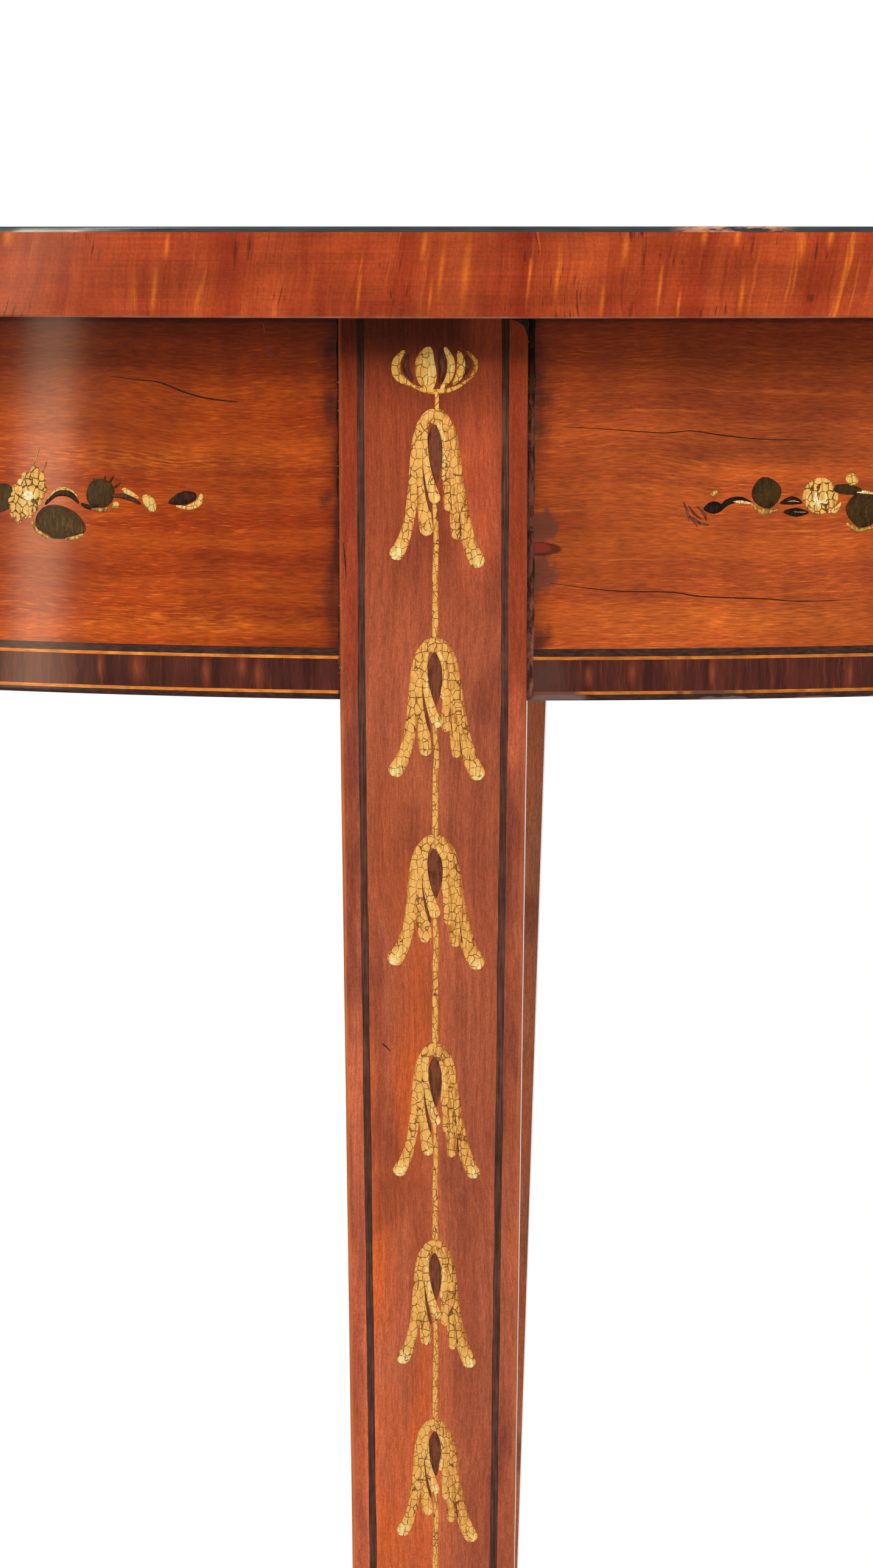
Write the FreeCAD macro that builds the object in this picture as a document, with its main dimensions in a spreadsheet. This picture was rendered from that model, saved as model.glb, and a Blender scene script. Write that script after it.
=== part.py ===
import FreeCAD, Part
import Sketcher
import os

# Half-round side table: a veneered top on a brick-built frieze, with a leg at the middle of the
# curve, one at each rear corner and one at the middle of the straight back rail.
# +Z is up, the floor is z = 0, the curve faces -Y and the straight back faces +Y. The half circle's
# centre lies on the back edge, so the origin is under the middle of the table's bounding box.

SIZES = {
    # Whole table
    "table_height": 760.0,
    "top_radius": 450.0,
    "back_setback": 8.0,
    # Top
    "top_thickness": 19.2,
    "face_veneer": 1.2,
    "edge_veneer": 1.0,
    "edge_string_width": 1.6,
    "top_band_width": 32.0,
    "field_string_width": 1.5,
    # Frieze
    "frieze_height": 83.7,
    "frieze_setback": 15.0,
    "frieze_veneer": 1.0,
    "frieze_core": 22.0,
    "bottom_string_height": 1.35,
    "light_string_height": 0.7,
    "frieze_band_height": 7.0,
    "upper_string_height": 1.75,
    # Legs
    "leg_width": 41.0,
    "leg_setback": 12.0,
    "front_foot_width": 28.6,
    "rear_foot_width": 23.2,
    "leg_string_width": 1.65,
    "leg_string_depth": 1.0,
    "leg_string_inset": 4.0,
    "leg_string_stop": 3.0,
    # Joinery
    "tenon_thickness": 9.0,
    "tenon_height": 40.0,
    "tenon_depth_share": 0.34,
    "back_rail_thickness": 20.0,
    "brace_thickness": 22.0,
    "brace_height": 56.0,
    "brace_tenon_share": 0.6,
    # Blocks
    "corner_block_side": 18.0,
    "corner_block_height": 60.0,
    "screw_block_length": 44.0,
    "screw_block_depth": 22.0,
    "screw_block_height": 22.0,
    "rear_block_place": 200.0,
    # Slotted wood screws
    "screw_radius": 2.0,
    "screw_head_radius": 4.0,
    "screw_head_height": 2.4,
    "screw_bite": 12.0,
    "screw_tip_length": 5.0,
    "screw_tip_radius": 0.4,
    "screw_slot_width": 1.0,
    "screw_slot_depth": 1.0,
    "leg_screw_place": 12.0,
    # How far a cutting tool runs past the face that it cuts
    "cut_overrun": 5.0,
}

# Where the blocks of the frieze meet, as shares of its quarter circle, for alternate courses
EVEN_COURSE_SHARES = (0.0, 1 / 3, 2 / 3, 1.0)
ODD_COURSE_SHARES = (0.0, 1 / 6, 1 / 2, 5 / 6, 1.0)
COURSE_COUNT = 4
QUARTER_TURN = 90

# Directions of the screw blocks round the half circle, in degrees from +X
SCREW_BLOCK_ANGLES = (210, 240, 300, 330)

# Sizes that several pieces share, written with the sheet's names
CENTRE_Y = "(Size.top_radius / 2)"
FACE_LOW = "(Size.table_height - Size.face_veneer)"
TOP_LOW = "(Size.table_height - Size.top_thickness)"
BAND_OUTER = "(Size.top_radius - Size.edge_string_width)"
BAND_INNER = f"({BAND_OUTER} - Size.top_band_width)"
FIELD_RADIUS = f"({BAND_INNER} - Size.field_string_width)"

FRIEZE_LOW = f"({TOP_LOW} - Size.frieze_height)"
FRIEZE_MIDDLE = f"({TOP_LOW} - Size.frieze_height / 2)"
FRIEZE_FACE = "(Size.top_radius - Size.frieze_setback)"
CORE_FACE = f"({FRIEZE_FACE} - Size.frieze_veneer)"
CORE_BACK = f"({CORE_FACE} - Size.frieze_core)"
CORE_MIDDLE = f"({CORE_FACE} - Size.frieze_core / 2)"

LEG_HALF = "(Size.leg_width / 2)"
LEG_FACE = "(Size.top_radius - Size.leg_setback)"
LEG_BACK = f"({LEG_FACE} - Size.leg_width)"
REAR_FACE_Y = f"({CENTRE_Y} - Size.back_setback)"
REAR_FRONT_Y = f"({REAR_FACE_Y} - Size.leg_width)"
RAIL_FRONT_Y = f"({REAR_FACE_Y} - Size.back_rail_thickness)"
RAIL_MIDDLE_Y = f"({REAR_FACE_Y} - Size.back_rail_thickness / 2)"
FRONT_TAPER = "((Size.leg_width - Size.front_foot_width) / 2)"
REAR_TAPER = "(Size.leg_width - Size.rear_foot_width)"

TENON_DEPTH = "(Size.leg_width * Size.tenon_depth_share)"
TENON_HALF = "(Size.tenon_thickness / 2)"
TENON_LOW = f"({FRIEZE_MIDDLE} - Size.tenon_height / 2)"
TENON_HIGH = f"({FRIEZE_MIDDLE} + Size.tenon_height / 2)"
BRACE_LOW = f"({TOP_LOW} - Size.brace_height)"
BRACE_MIDDLE = f"({TOP_LOW} - Size.brace_height / 2)"
BRACE_TENON_LOW = f"({BRACE_MIDDLE} - Size.brace_height * Size.brace_tenon_share / 2)"
BRACE_TENON_HIGH = f"({BRACE_MIDDLE} + Size.brace_height * Size.brace_tenon_share / 2)"
BRACE_REAR_DEPTH = "((Size.leg_width - Size.back_rail_thickness) * Size.brace_tenon_share)"
BLOCK_LOW = f"({TOP_LOW} - Size.screw_block_height)"

doc = FreeCAD.newDocument("DemiluneTable")
sheet = doc.addObject("Spreadsheet::Sheet", "Size")
for row, (alias, value) in enumerate(SIZES.items(), start=1):
    sheet.set(f"A{row}", alias)
    sheet.set(f"B{row}", str(value))
    sheet.setAlias(f"B{row}", alias)
doc.recompute()

nodes = []


def node(feature, label):
    """Names a finished piece, or a group of like pieces, and keeps it for the export."""
    feature.Label = label
    nodes.append(feature)
    return feature


# Solids and booleans


def place(feature, x, y, z, axis=(0, 0, 1), turn=0):
    rotation = FreeCAD.Rotation(FreeCAD.Vector(*axis), turn)
    feature.Placement = FreeCAD.Placement(FreeCAD.Vector(), rotation)
    for name, formula in zip("xyz", (x, y, z)):
        feature.setExpression("Placement.Base." + name, formula)


def box(name, x_span, y_span, z_span):
    solid = doc.addObject("Part::Box", name)
    spans = (x_span, y_span, z_span)
    for side, (low, high) in zip(("Length", "Width", "Height"), spans):
        solid.setExpression(side, f"({high}) - ({low})")
    place(solid, x_span[0], y_span[0], z_span[0])
    return solid


def disc(name, radius, low, high, turn=180, span=180):
    """A sector of a disc about the half circle's centre; by default the whole half facing -Y."""
    solid = doc.addObject("Part::Cylinder", name)
    solid.Angle = span
    solid.setExpression("Radius", radius)
    solid.setExpression("Height", f"({high}) - ({low})")
    place(solid, "0", CENTRE_Y, low, turn=turn)
    return solid


def cut(name, base, tool):
    result = doc.addObject("Part::Cut", name)
    result.Base = base
    result.Tool = tool
    return result


def common(name, base, tool):
    result = doc.addObject("Part::Common", name)
    result.Base = base
    result.Tool = tool
    return result


def group(name, members):
    result = doc.addObject("Part::Compound", name)
    result.Links = members
    return result


def ring(name, outer, inner, low, high, turn=180, span=180):
    past = "Size.cut_overrun"
    blank = disc(name + "_disc", outer, low, high, turn, span)
    hole = disc(name + "_hole", inner, f"{low} - {past}", f"{high} + {past}", 0, 360)
    return cut(name, blank, hole)


# Sketched bodies


def polygon(body, name, role, offset, points):
    """A closed outline on one of the body's own planes, each corner tied to its two formulas."""
    sketch = body.newObject("Sketcher::SketchObject", name)
    plane = next(part for part in body.Origin.OriginFeatures if part.Role == role)
    sketch.AttachmentSupport = [(plane, "")]
    sketch.MapMode = "FlatFace"
    sketch.setExpression("AttachmentOffset.Base.z", offset)
    values = [[float(sheet.evalExpression(formula)) for formula in point] for point in points]
    corners = [FreeCAD.Vector(*value, 0) for value in values]
    for start, end in zip(corners, corners[1:] + corners[:1]):
        sketch.addGeometry(Part.LineSegment(start, end))
    for index, point in enumerate(points):
        following = (index + 1) % len(points)
        sketch.addConstraint(Sketcher.Constraint("Coincident", index, 2, following, 1))
        for kind, formula, value in zip(("DistanceX", "DistanceY"), point, values[index]):
            number = sketch.addConstraint(Sketcher.Constraint(kind, -1, 1, index, 1, value))
            sketch.setExpression(f"Constraints[{number}]", formula)
    doc.recompute()
    return sketch


def rectangle(x_span, y_span):
    (left, right), (low, high) = x_span, y_span
    return [(left, low), (right, low), (right, high), (left, high)]


def feature(body, kind, name, sketch, length, reverse=False):
    """A pad or pocket of the sketch; a pocket goes against the sketch's normal unless reversed."""
    step = body.newObject("PartDesign::" + kind, name)
    step.Profile = sketch
    step.setExpression("Length", length)
    step.Reversed = reverse
    doc.recompute()
    sketch.Visibility = False
    return step


# Top: a half-round core board, its edge veneer, and a face of strings, bands and field


def face_shape(name, radius, back):
    """A half disc in the face veneer's thickness, stopped short of the back edge."""
    half = disc(name + "_half", radius, FACE_LOW, "Size.table_height")
    reach = f"({radius} + Size.cut_overrun)"
    room = box(
        name + "_room",
        (f"-{reach}", reach),
        (f"{CENTRE_Y} - {reach}", f"{CENTRE_Y} - {back}"),
        (FACE_LOW, "Size.table_height"),
    )
    return common(name, half, room)


def make_top(screws):
    core = disc("core_blank", "Size.top_radius - Size.edge_veneer", TOP_LOW, FACE_LOW)
    node(cut("top_core", core, screws), "top_core")
    edge = ring("edge", "Size.top_radius", "Size.top_radius - Size.edge_veneer", TOP_LOW, FACE_LOW)
    node(edge, "top_edge_veneer")
    string = ring("arris", "Size.top_radius", BAND_OUTER, FACE_LOW, "Size.table_height")
    node(string, "top_edge_string")
    node(ring("band", BAND_OUTER, BAND_INNER, FACE_LOW, "Size.table_height"), "top_crossband")
    inside = face_shape("inside", BAND_INNER, "Size.top_band_width")
    whole = disc("inside_whole", BAND_INNER, FACE_LOW, "Size.table_height")
    node(cut("back_band", whole, inside), "top_back_crossband")
    field_back = "(Size.top_band_width + Size.field_string_width)"
    field = face_shape("field", FIELD_RADIUS, field_back)
    within = face_shape("within", BAND_INNER, field_back)
    curved = cut("curved_string", within, field)
    straight = cut("straight_string", inside, within)
    node(group("field_strings", [curved, straight]), "top_field_strings")
    node(field, "top_field_veneer")


# Frieze: two quarter-round panels, left and right of the front leg


def panel_room(name, side, low, high):
    """The block of space that a panel takes up between the front leg and a corner leg."""
    outer, inner = f"{side} * Size.top_radius", f"{side} * {LEG_HALF}"
    x_span = (outer, inner) if side < 0 else (inner, outer)
    return box(name, x_span, (f"-{CENTRE_Y}", REAR_FRONT_Y), (low, high))


def make_tenons():
    """Loose tenons, half in the frieze and half in a leg, with one pair to each panel."""
    tenons = {}
    for hand, side in (("left", -1), ("right", 1)):
        far = f"{side} * ({LEG_HALF} + {TENON_DEPTH})"
        near = f"{side} * ({LEG_HALF} - {TENON_DEPTH})"
        outer = f"{side} * ({CORE_MIDDLE} + {TENON_HALF})"
        inner = f"{side} * ({CORE_MIDDLE} - {TENON_HALF})"
        front_y = f"{CENTRE_Y} - {CORE_MIDDLE}"
        front = box(
            hand + "_front_tenon",
            (far, near) if side < 0 else (near, far),
            (f"{front_y} - {TENON_HALF}", f"{front_y} + {TENON_HALF}"),
            (TENON_LOW, TENON_HIGH),
        )
        rear = box(
            hand + "_rear_tenon",
            (outer, inner) if side < 0 else (inner, outer),
            (f"{REAR_FRONT_Y} - {TENON_DEPTH}", f"{REAR_FRONT_Y} + {TENON_DEPTH}"),
            (TENON_LOW, TENON_HIGH),
        )
        tenons[hand] = group(hand + "_tenons", [front, rear])
    node(group("frieze_tenons", list(tenons.values())), "frieze_tenons")
    return tenons


def make_frieze_core(hand, side, tenons):
    """Courses of curved blocks, with the joints of one course over the middles of the next."""
    room = panel_room(hand + "_core_room", side, FRIEZE_LOW, TOP_LOW)
    first_turn = 180 if side < 0 else 270
    blocks = []
    for course in range(COURSE_COUNT):
        low = f"({FRIEZE_LOW} + Size.frieze_height * {course} / {COURSE_COUNT})"
        high = f"({FRIEZE_LOW} + Size.frieze_height * {course + 1} / {COURSE_COUNT})"
        shares = ODD_COURSE_SHARES if course % 2 else EVEN_COURSE_SHARES
        for number, (start, end) in enumerate(zip(shares, shares[1:])):
            name = f"{hand}_block_{course}_{number}"
            turn = first_turn + QUARTER_TURN * start
            span = QUARTER_TURN * (end - start)
            curved = ring(name + "_ring", CORE_FACE, CORE_BACK, low, high, turn, span)
            fitted = common(name + "_fitted", curved, room)
            blocks.append(cut(name, fitted, tenons))
    node(group(hand + "_core", blocks), hand + "_frieze_core")


def make_frieze_face(hand, side):
    """Veneer and inlaid bands on the core's outer face, stacked from the bottom edge up."""
    skin = ring(hand + "_skin", FRIEZE_FACE, CORE_FACE, FRIEZE_LOW, TOP_LOW)
    layers = (
        ("bottom_string", "Size.bottom_string_height"),
        ("lower_light_string", "Size.light_string_height"),
        ("crossband", "Size.frieze_band_height"),
        ("upper_light_string", "Size.light_string_height"),
        ("upper_string", "Size.upper_string_height"),
    )
    low = FRIEZE_LOW
    strips = {}
    for layer, height in layers:
        high = f"({low} + {height})"
        room = panel_room(f"{hand}_{layer}_room", side, low, high)
        strips[layer] = common(f"{hand}_{layer}", skin, room)
        low = high
    room = panel_room(hand + "_veneer_room", side, low, TOP_LOW)
    node(common(hand + "_veneer", skin, room), hand + "_frieze_veneer")
    node(strips["upper_string"], hand + "_frieze_upper_string")
    lights = [strips["lower_light_string"], strips["upper_light_string"]]
    node(group(hand + "_light_strings", lights), hand + "_frieze_light_strings")
    node(strips["crossband"], hand + "_frieze_crossband")
    node(strips["bottom_string"], hand + "_frieze_bottom_string")


# Legs, drawn with the outer face on y = 0, the body of the leg towards +y and x = 0 in the middle


def leg_blank(name, left_taper, right_taper, back_taper):
    """A square blank sawn to its taper below the frieze, with its outer face left straight."""
    body = doc.addObject("PartDesign::Body", name)
    outline = [
        (f"-{LEG_HALF}", TOP_LOW),
        (f"-{LEG_HALF}", FRIEZE_LOW),
        (f"{left_taper} - {LEG_HALF}", "0"),
        (f"{LEG_HALF} - {right_taper}", "0"),
        (LEG_HALF, FRIEZE_LOW),
        (LEG_HALF, TOP_LOW),
    ]
    front = polygon(body, name + "_outline", "XZ_Plane", "0", outline)
    feature(body, "Pad", name + "_blank", front, "Size.leg_width", True)
    waste = [
        ("Size.leg_width", FRIEZE_LOW),
        (f"Size.leg_width - {back_taper}", "0"),
        ("Size.leg_width + Size.cut_overrun", "0"),
        ("Size.leg_width + Size.cut_overrun", FRIEZE_LOW),
    ]
    side = polygon(body, name + "_waste", "YZ_Plane", LEG_HALF, waste)
    feature(body, "Pocket", name + "_back_taper", side, "Size.leg_width")
    return body


def side_mortise(body, name, side, low, high):
    """A mortise for a loose tenon, in the leg's right (+1) or left (-1) side."""
    middle = f"({LEG_FACE} - {CORE_MIDDLE})"
    opening = rectangle((f"{middle} - {TENON_HALF}", f"{middle} + {TENON_HALF}"), (low, high))
    sketch = polygon(body, name + "_opening", "YZ_Plane", f"{side} * {LEG_HALF}", opening)
    feature(body, "Pocket", name, sketch, TENON_DEPTH, side < 0)


def back_mortise(body, name, middle, low, high, depth):
    """A mortise in the leg's inner face, centred on the given x."""
    opening = rectangle((f"{middle} - {TENON_HALF}", f"{middle} + {TENON_HALF}"), (low, high))
    sketch = polygon(body, name + "_opening", "XZ_Plane", "-Size.leg_width", opening)
    feature(body, "Pocket", name, sketch, depth, True)


def string_outline(side, taper):
    """One string line on a leg's outer face, which keeps its distance from the leg's edge."""
    stop = "Size.leg_string_stop"
    outer = f"({LEG_HALF} - Size.leg_string_inset)"
    inner = f"({outer} - Size.leg_string_width)"
    lean = f"({taper} * ({FRIEZE_LOW} - {stop}) / {FRIEZE_LOW})"
    return [
        (f"{side} * {inner}", TOP_LOW),
        (f"{side} * {outer}", TOP_LOW),
        (f"{side} * {outer}", FRIEZE_LOW),
        (f"{side} * ({outer} - {lean})", stop),
        (f"{side} * ({inner} - {lean})", stop),
        (f"{side} * {inner}", FRIEZE_LOW),
    ]


def let_in_strings(leg, name, tapers, spot):
    """Cuts a groove along each side of the leg's outer face and makes the string that fills it."""
    strings = []
    for hand, side, taper in (("left", -1, tapers[0]), ("right", 1, tapers[1])):
        outline = string_outline(side, taper)
        groove = polygon(leg, f"{name}_{hand}_line", "XZ_Plane", "0", outline)
        feature(leg, "Pocket", f"{name}_{hand}_groove", groove, "Size.leg_string_depth")
        string = doc.addObject("PartDesign::Body", f"{name}_{hand}_string")
        profile = polygon(string, f"{name}_{hand}_profile", "XZ_Plane", "0", outline)
        feature(string, "Pad", f"{name}_{hand}_strip", profile, "Size.leg_string_depth", True)
        place(string, *spot)
        strings.append(string)
    node(group(name + "_strings", strings), name + "_strings")


def make_front_leg():
    spot = ("0", f"{CENTRE_Y} - {LEG_FACE}", "0")
    leg = leg_blank("front_leg", FRONT_TAPER, FRONT_TAPER, f"(2 * {FRONT_TAPER})")
    side_mortise(leg, "front_left_mortise", -1, TENON_LOW, TENON_HIGH)
    side_mortise(leg, "front_right_mortise", 1, TENON_LOW, TENON_HIGH)
    back_mortise(leg, "brace_mortise", "0", BRACE_TENON_LOW, BRACE_TENON_HIGH, TENON_DEPTH)
    let_in_strings(leg, "front_leg", (FRONT_TAPER, FRONT_TAPER), spot)
    place(leg, *spot)
    node(leg, "front_leg")


def make_corner_leg(hand, side):
    """A rear corner leg, turned so that its outer face looks sideways; its back stays upright."""
    up = (0, 0, 1)
    middle_y = f"{REAR_FACE_Y} - {LEG_HALF}"
    spot = (f"{side} * {LEG_FACE}", middle_y, "0", up, side * QUARTER_TURN)
    tapers = ("0", REAR_TAPER) if side < 0 else (REAR_TAPER, "0")
    name = hand + "_leg"
    leg = leg_blank(name, *tapers, REAR_TAPER)
    side_mortise(leg, hand + "_frieze_mortise", -side, TENON_LOW, TENON_HIGH)
    rail_place = f"({side} * ({RAIL_MIDDLE_Y} - ({middle_y})))"
    back_mortise(leg, hand + "_rail_mortise", rail_place, TENON_LOW, TENON_HIGH, TENON_DEPTH)
    let_in_strings(leg, name, tapers, spot)
    place(leg, *spot)
    node(leg, name)


def make_rear_centre_leg(screws):
    """Faces backwards, with its head halved over the back rail so that its shoulder carries it."""
    leg = leg_blank("rear_centre_blank", REAR_TAPER, "0", REAR_TAPER)
    lap = rectangle(
        ("-Size.cut_overrun", "Size.back_rail_thickness"),
        (FRIEZE_LOW, f"{TOP_LOW} + Size.cut_overrun"),
    )
    sketch = polygon(leg, "rear_centre_lap", "YZ_Plane", LEG_HALF, lap)
    feature(leg, "Pocket", "rear_centre_halving", sketch, "Size.leg_width")
    low, high = BRACE_TENON_LOW, BRACE_TENON_HIGH
    back_mortise(leg, "rear_brace_mortise", "0", low, high, BRACE_REAR_DEPTH)
    place(leg, "0", REAR_FACE_Y, "0", turn=180)
    node(cut("rear_centre_leg", leg, screws), "rear_centre_leg")


# Rails


def make_back_rail(screws):
    """The straight rail between the corner legs, with a tenon along its middle at each end."""
    body = doc.addObject("PartDesign::Body", "back_rail_body")
    rail = rectangle((f"-{LEG_BACK}", LEG_BACK), (FRIEZE_LOW, TOP_LOW))
    sketch = polygon(body, "back_rail_face", "XZ_Plane", f"-{RAIL_FRONT_Y}", rail)
    feature(body, "Pad", "back_rail_board", sketch, "Size.back_rail_thickness", True)
    reach = f"({LEG_BACK} + {TENON_DEPTH})"
    tongue = rectangle((f"-{reach}", reach), (TENON_LOW, TENON_HIGH))
    tongue_y = f"-({RAIL_MIDDLE_Y} - {TENON_HALF})"
    sketch = polygon(body, "back_rail_tongue", "XZ_Plane", tongue_y, tongue)
    feature(body, "Pad", "back_rail_tenons", sketch, "Size.tenon_thickness", True)
    node(cut("back_rail", body, screws), "back_rail")


def make_medial_brace():
    """A brace under the top from the front leg to the rear centre leg, tenoned into both."""
    body = doc.addObject("PartDesign::Body", "medial_brace")
    front, rear = f"({CENTRE_Y} - {LEG_BACK})", REAR_FRONT_Y
    board = rectangle((front, rear), (BRACE_LOW, TOP_LOW))
    sketch = polygon(body, "brace_side", "YZ_Plane", "-Size.brace_thickness / 2", board)
    feature(body, "Pad", "brace_board", sketch, "Size.brace_thickness")
    tongue = rectangle(
        (f"{front} - {TENON_DEPTH}", f"{rear} + {BRACE_REAR_DEPTH}"),
        (BRACE_TENON_LOW, BRACE_TENON_HIGH),
    )
    sketch = polygon(body, "brace_tongue", "YZ_Plane", f"-{TENON_HALF}", tongue)
    feature(body, "Pad", "brace_tenons", sketch, "Size.tenon_thickness")
    node(body, "medial_brace")


# Blocks and screws


def make_corner_blocks():
    """Triangular glue blocks where the back rail meets the corner legs and the rear centre leg."""
    corners = (
        ("left_corner", f"-{LEG_BACK}", 1),
        ("left_centre", f"-{LEG_HALF}", -1),
        ("right_centre", LEG_HALF, 1),
        ("right_corner", LEG_BACK, -1),
    )
    blocks = []
    for name, x, way in corners:
        body = doc.addObject("PartDesign::Body", name + "_block")
        outline = [
            (x, RAIL_FRONT_Y),
            (f"{x} + {way} * Size.corner_block_side", RAIL_FRONT_Y),
            (x, f"{RAIL_FRONT_Y} - Size.corner_block_side"),
        ]
        level = f"{TOP_LOW} - Size.corner_block_height"
        sketch = polygon(body, name + "_triangle", "XY_Plane", level, outline)
        feature(body, "Pad", name + "_prism", sketch, "Size.corner_block_height")
        blocks.append(body)
    node(group("corner_blocks", blocks), "corner_glue_blocks")


def screw(name, x, y, z, length, forward=False):
    """A slotted screw whose head lies at the given point; it points up, or forward to -Y."""
    axis, turn = ((1, 0, 0), 90) if forward else ((0, 0, 1), 0)

    def along(part, distance):
        if forward:
            place(part, x, f"{y} - ({distance})", z, axis, turn)
        else:
            place(part, x, y, f"{z} + ({distance})", axis, turn)
        return part

    head = doc.addObject("Part::Cone", name + "_head")
    head.setExpression("Radius1", "Size.screw_head_radius")
    head.setExpression("Radius2", "Size.screw_radius")
    head.setExpression("Height", "Size.screw_head_height")
    shank = doc.addObject("Part::Cylinder", name + "_shank")
    shank.setExpression("Radius", "Size.screw_radius")
    shank_length = f"{length} - Size.screw_head_height - Size.screw_tip_length"
    shank.setExpression("Height", shank_length)
    tip = doc.addObject("Part::Cone", name + "_tip")
    tip.setExpression("Radius1", "Size.screw_radius")
    tip.setExpression("Radius2", "Size.screw_tip_radius")
    tip.setExpression("Height", "Size.screw_tip_length")
    along(head, "0")
    along(shank, "Size.screw_head_height")
    along(tip, f"{length} - Size.screw_tip_length")
    whole = doc.addObject("Part::MultiFuse", name + "_whole")
    whole.Shapes = [head, shank, tip]
    slot_x = (f"{x} - Size.screw_slot_width / 2", f"{x} + Size.screw_slot_width / 2")
    if forward:
        slot_y = (f"{y} - Size.screw_slot_depth", f"{y} + Size.cut_overrun")
        slot_z = (f"{z} - Size.screw_head_radius", f"{z} + Size.screw_head_radius")
    else:
        slot_y = (f"{y} - Size.screw_head_radius", f"{y} + Size.screw_head_radius")
        slot_z = (f"{z} - Size.cut_overrun", f"{z} + Size.screw_slot_depth")
    return whole, cut(name, whole, box(name + "_slot", slot_x, slot_y, slot_z))


def make_top_fixings():
    """Blocks glued inside the frieze and the back rail, each with a screw up into the top."""
    length = "(Size.screw_block_height + Size.screw_bite)"
    blanks, wholes, screws = [], [], []
    inside = disc("block_room", CORE_BACK, BLOCK_LOW, TOP_LOW)
    for number, angle in enumerate(SCREW_BLOCK_ANGLES):
        name = f"frieze_block_{number}"
        near = f"({CORE_BACK} - Size.screw_block_depth)"
        half = "(Size.screw_block_length / 2)"
        blank = doc.addObject("Part::Box", name + "_blank")
        blank.setExpression("Length", "Size.screw_block_depth + Size.cut_overrun")
        blank.setExpression("Width", "Size.screw_block_length")
        blank.setExpression("Height", "Size.screw_block_height")
        corner_x = f"{near} * cos({angle}) + {half} * sin({angle})"
        corner_y = f"{CENTRE_Y} + {near} * sin({angle}) - {half} * cos({angle})"
        place(blank, corner_x, corner_y, BLOCK_LOW, turn=angle)
        blanks.append(common(name, blank, inside))
        middle = f"({CORE_BACK} - Size.screw_block_depth / 2)"
        spot = (f"{middle} * cos({angle})", f"{CENTRE_Y} + {middle} * sin({angle})")
        whole, slotted = screw(f"frieze_screw_{number}", *spot, BLOCK_LOW, length)
        wholes.append(whole)
        screws.append(slotted)
    for hand, side in (("left", -1), ("right", 1)):
        x = f"({side} * Size.rear_block_place)"
        half = "(Size.screw_block_length / 2)"
        x_span = (f"{x} - {half}", f"{x} + {half}")
        y_span = (f"{RAIL_FRONT_Y} - Size.screw_block_depth", RAIL_FRONT_Y)
        blanks.append(box(hand + "_rear_block", x_span, y_span, (BLOCK_LOW, TOP_LOW)))
        y = f"({RAIL_FRONT_Y} - Size.screw_block_depth / 2)"
        whole, slotted = screw(hand + "_rear_screw", x, y, BLOCK_LOW, length)
        wholes.append(whole)
        screws.append(slotted)
    holes = group("top_screw_holes", wholes)
    bored = [cut(blank.Name + "_bored", blank, hole) for blank, hole in zip(blanks, wholes)]
    node(group("screw_blocks", bored), "top_screw_blocks")
    node(group("top_screw_set", screws), "top_screws")
    return holes


def make_leg_screws():
    """Two screws through the back rail into the head of the rear centre leg."""
    length = "(Size.back_rail_thickness + Size.screw_bite)"
    wholes, screws = [], []
    for hand, side in (("left", -1), ("right", 1)):
        x = f"({side} * Size.leg_screw_place)"
        name = hand + "_leg_screw"
        whole, slotted = screw(name, x, REAR_FACE_Y, FRIEZE_MIDDLE, length, True)
        wholes.append(whole)
        screws.append(slotted)
    node(group("leg_screw_set", screws), "rear_leg_screws")
    return group("leg_screw_holes", wholes)


# Assembly

top_holes = make_top_fixings()
leg_holes = make_leg_screws()
make_top(top_holes)
loose_tenons = make_tenons()
for panel_hand, panel_side in (("left", -1), ("right", 1)):
    make_frieze_core(panel_hand, panel_side, loose_tenons[panel_hand])
    make_frieze_face(panel_hand, panel_side)
    make_corner_leg(panel_hand, panel_side)
make_front_leg()
make_rear_centre_leg(leg_holes)
make_back_rail(leg_holes)
make_medial_brace()
make_corner_blocks()
doc.recompute()

# Every step has to have worked before anything is written

for item in doc.Objects:
    if "Invalid" in item.State or "Error" in item.State:
        raise RuntimeError(f"{item.Name} failed: {item.State}")
    if item.TypeId == "PartDesign::Pocket":
        removed = item.BaseFeature.Shape.Volume - item.Shape.Volume
        if removed <= 0:
            raise RuntimeError(f"{item.Name} cuts nothing")
for piece in nodes:
    if piece.Shape.isNull() or not piece.Shape.isValid():
        raise RuntimeError(f"{piece.Label} has no valid shape")

os.makedirs("parts", exist_ok=True)
for piece in nodes:
    piece.Shape.exportStep(f"parts/{piece.Label}.step")
    print(piece.Label, len(piece.Shape.Solids), "solids", round(piece.Shape.Volume), "mm3")
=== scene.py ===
import math
import random

import bmesh
import bpy
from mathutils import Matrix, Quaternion, Vector


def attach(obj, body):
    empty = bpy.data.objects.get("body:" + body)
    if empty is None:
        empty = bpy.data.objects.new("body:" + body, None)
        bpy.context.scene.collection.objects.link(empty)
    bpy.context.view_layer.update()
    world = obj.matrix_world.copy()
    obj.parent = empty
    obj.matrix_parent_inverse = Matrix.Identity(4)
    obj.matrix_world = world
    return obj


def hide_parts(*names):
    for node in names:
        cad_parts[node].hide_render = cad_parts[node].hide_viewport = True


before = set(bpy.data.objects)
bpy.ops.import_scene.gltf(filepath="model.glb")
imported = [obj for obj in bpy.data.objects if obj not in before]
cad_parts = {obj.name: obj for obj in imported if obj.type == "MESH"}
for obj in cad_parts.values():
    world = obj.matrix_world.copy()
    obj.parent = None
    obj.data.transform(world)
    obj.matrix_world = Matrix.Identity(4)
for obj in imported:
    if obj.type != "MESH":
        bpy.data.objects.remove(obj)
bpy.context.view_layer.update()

# Sizes of the table in millimetres, as in the CAD model. The half circle's centre is on the back edge.

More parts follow.
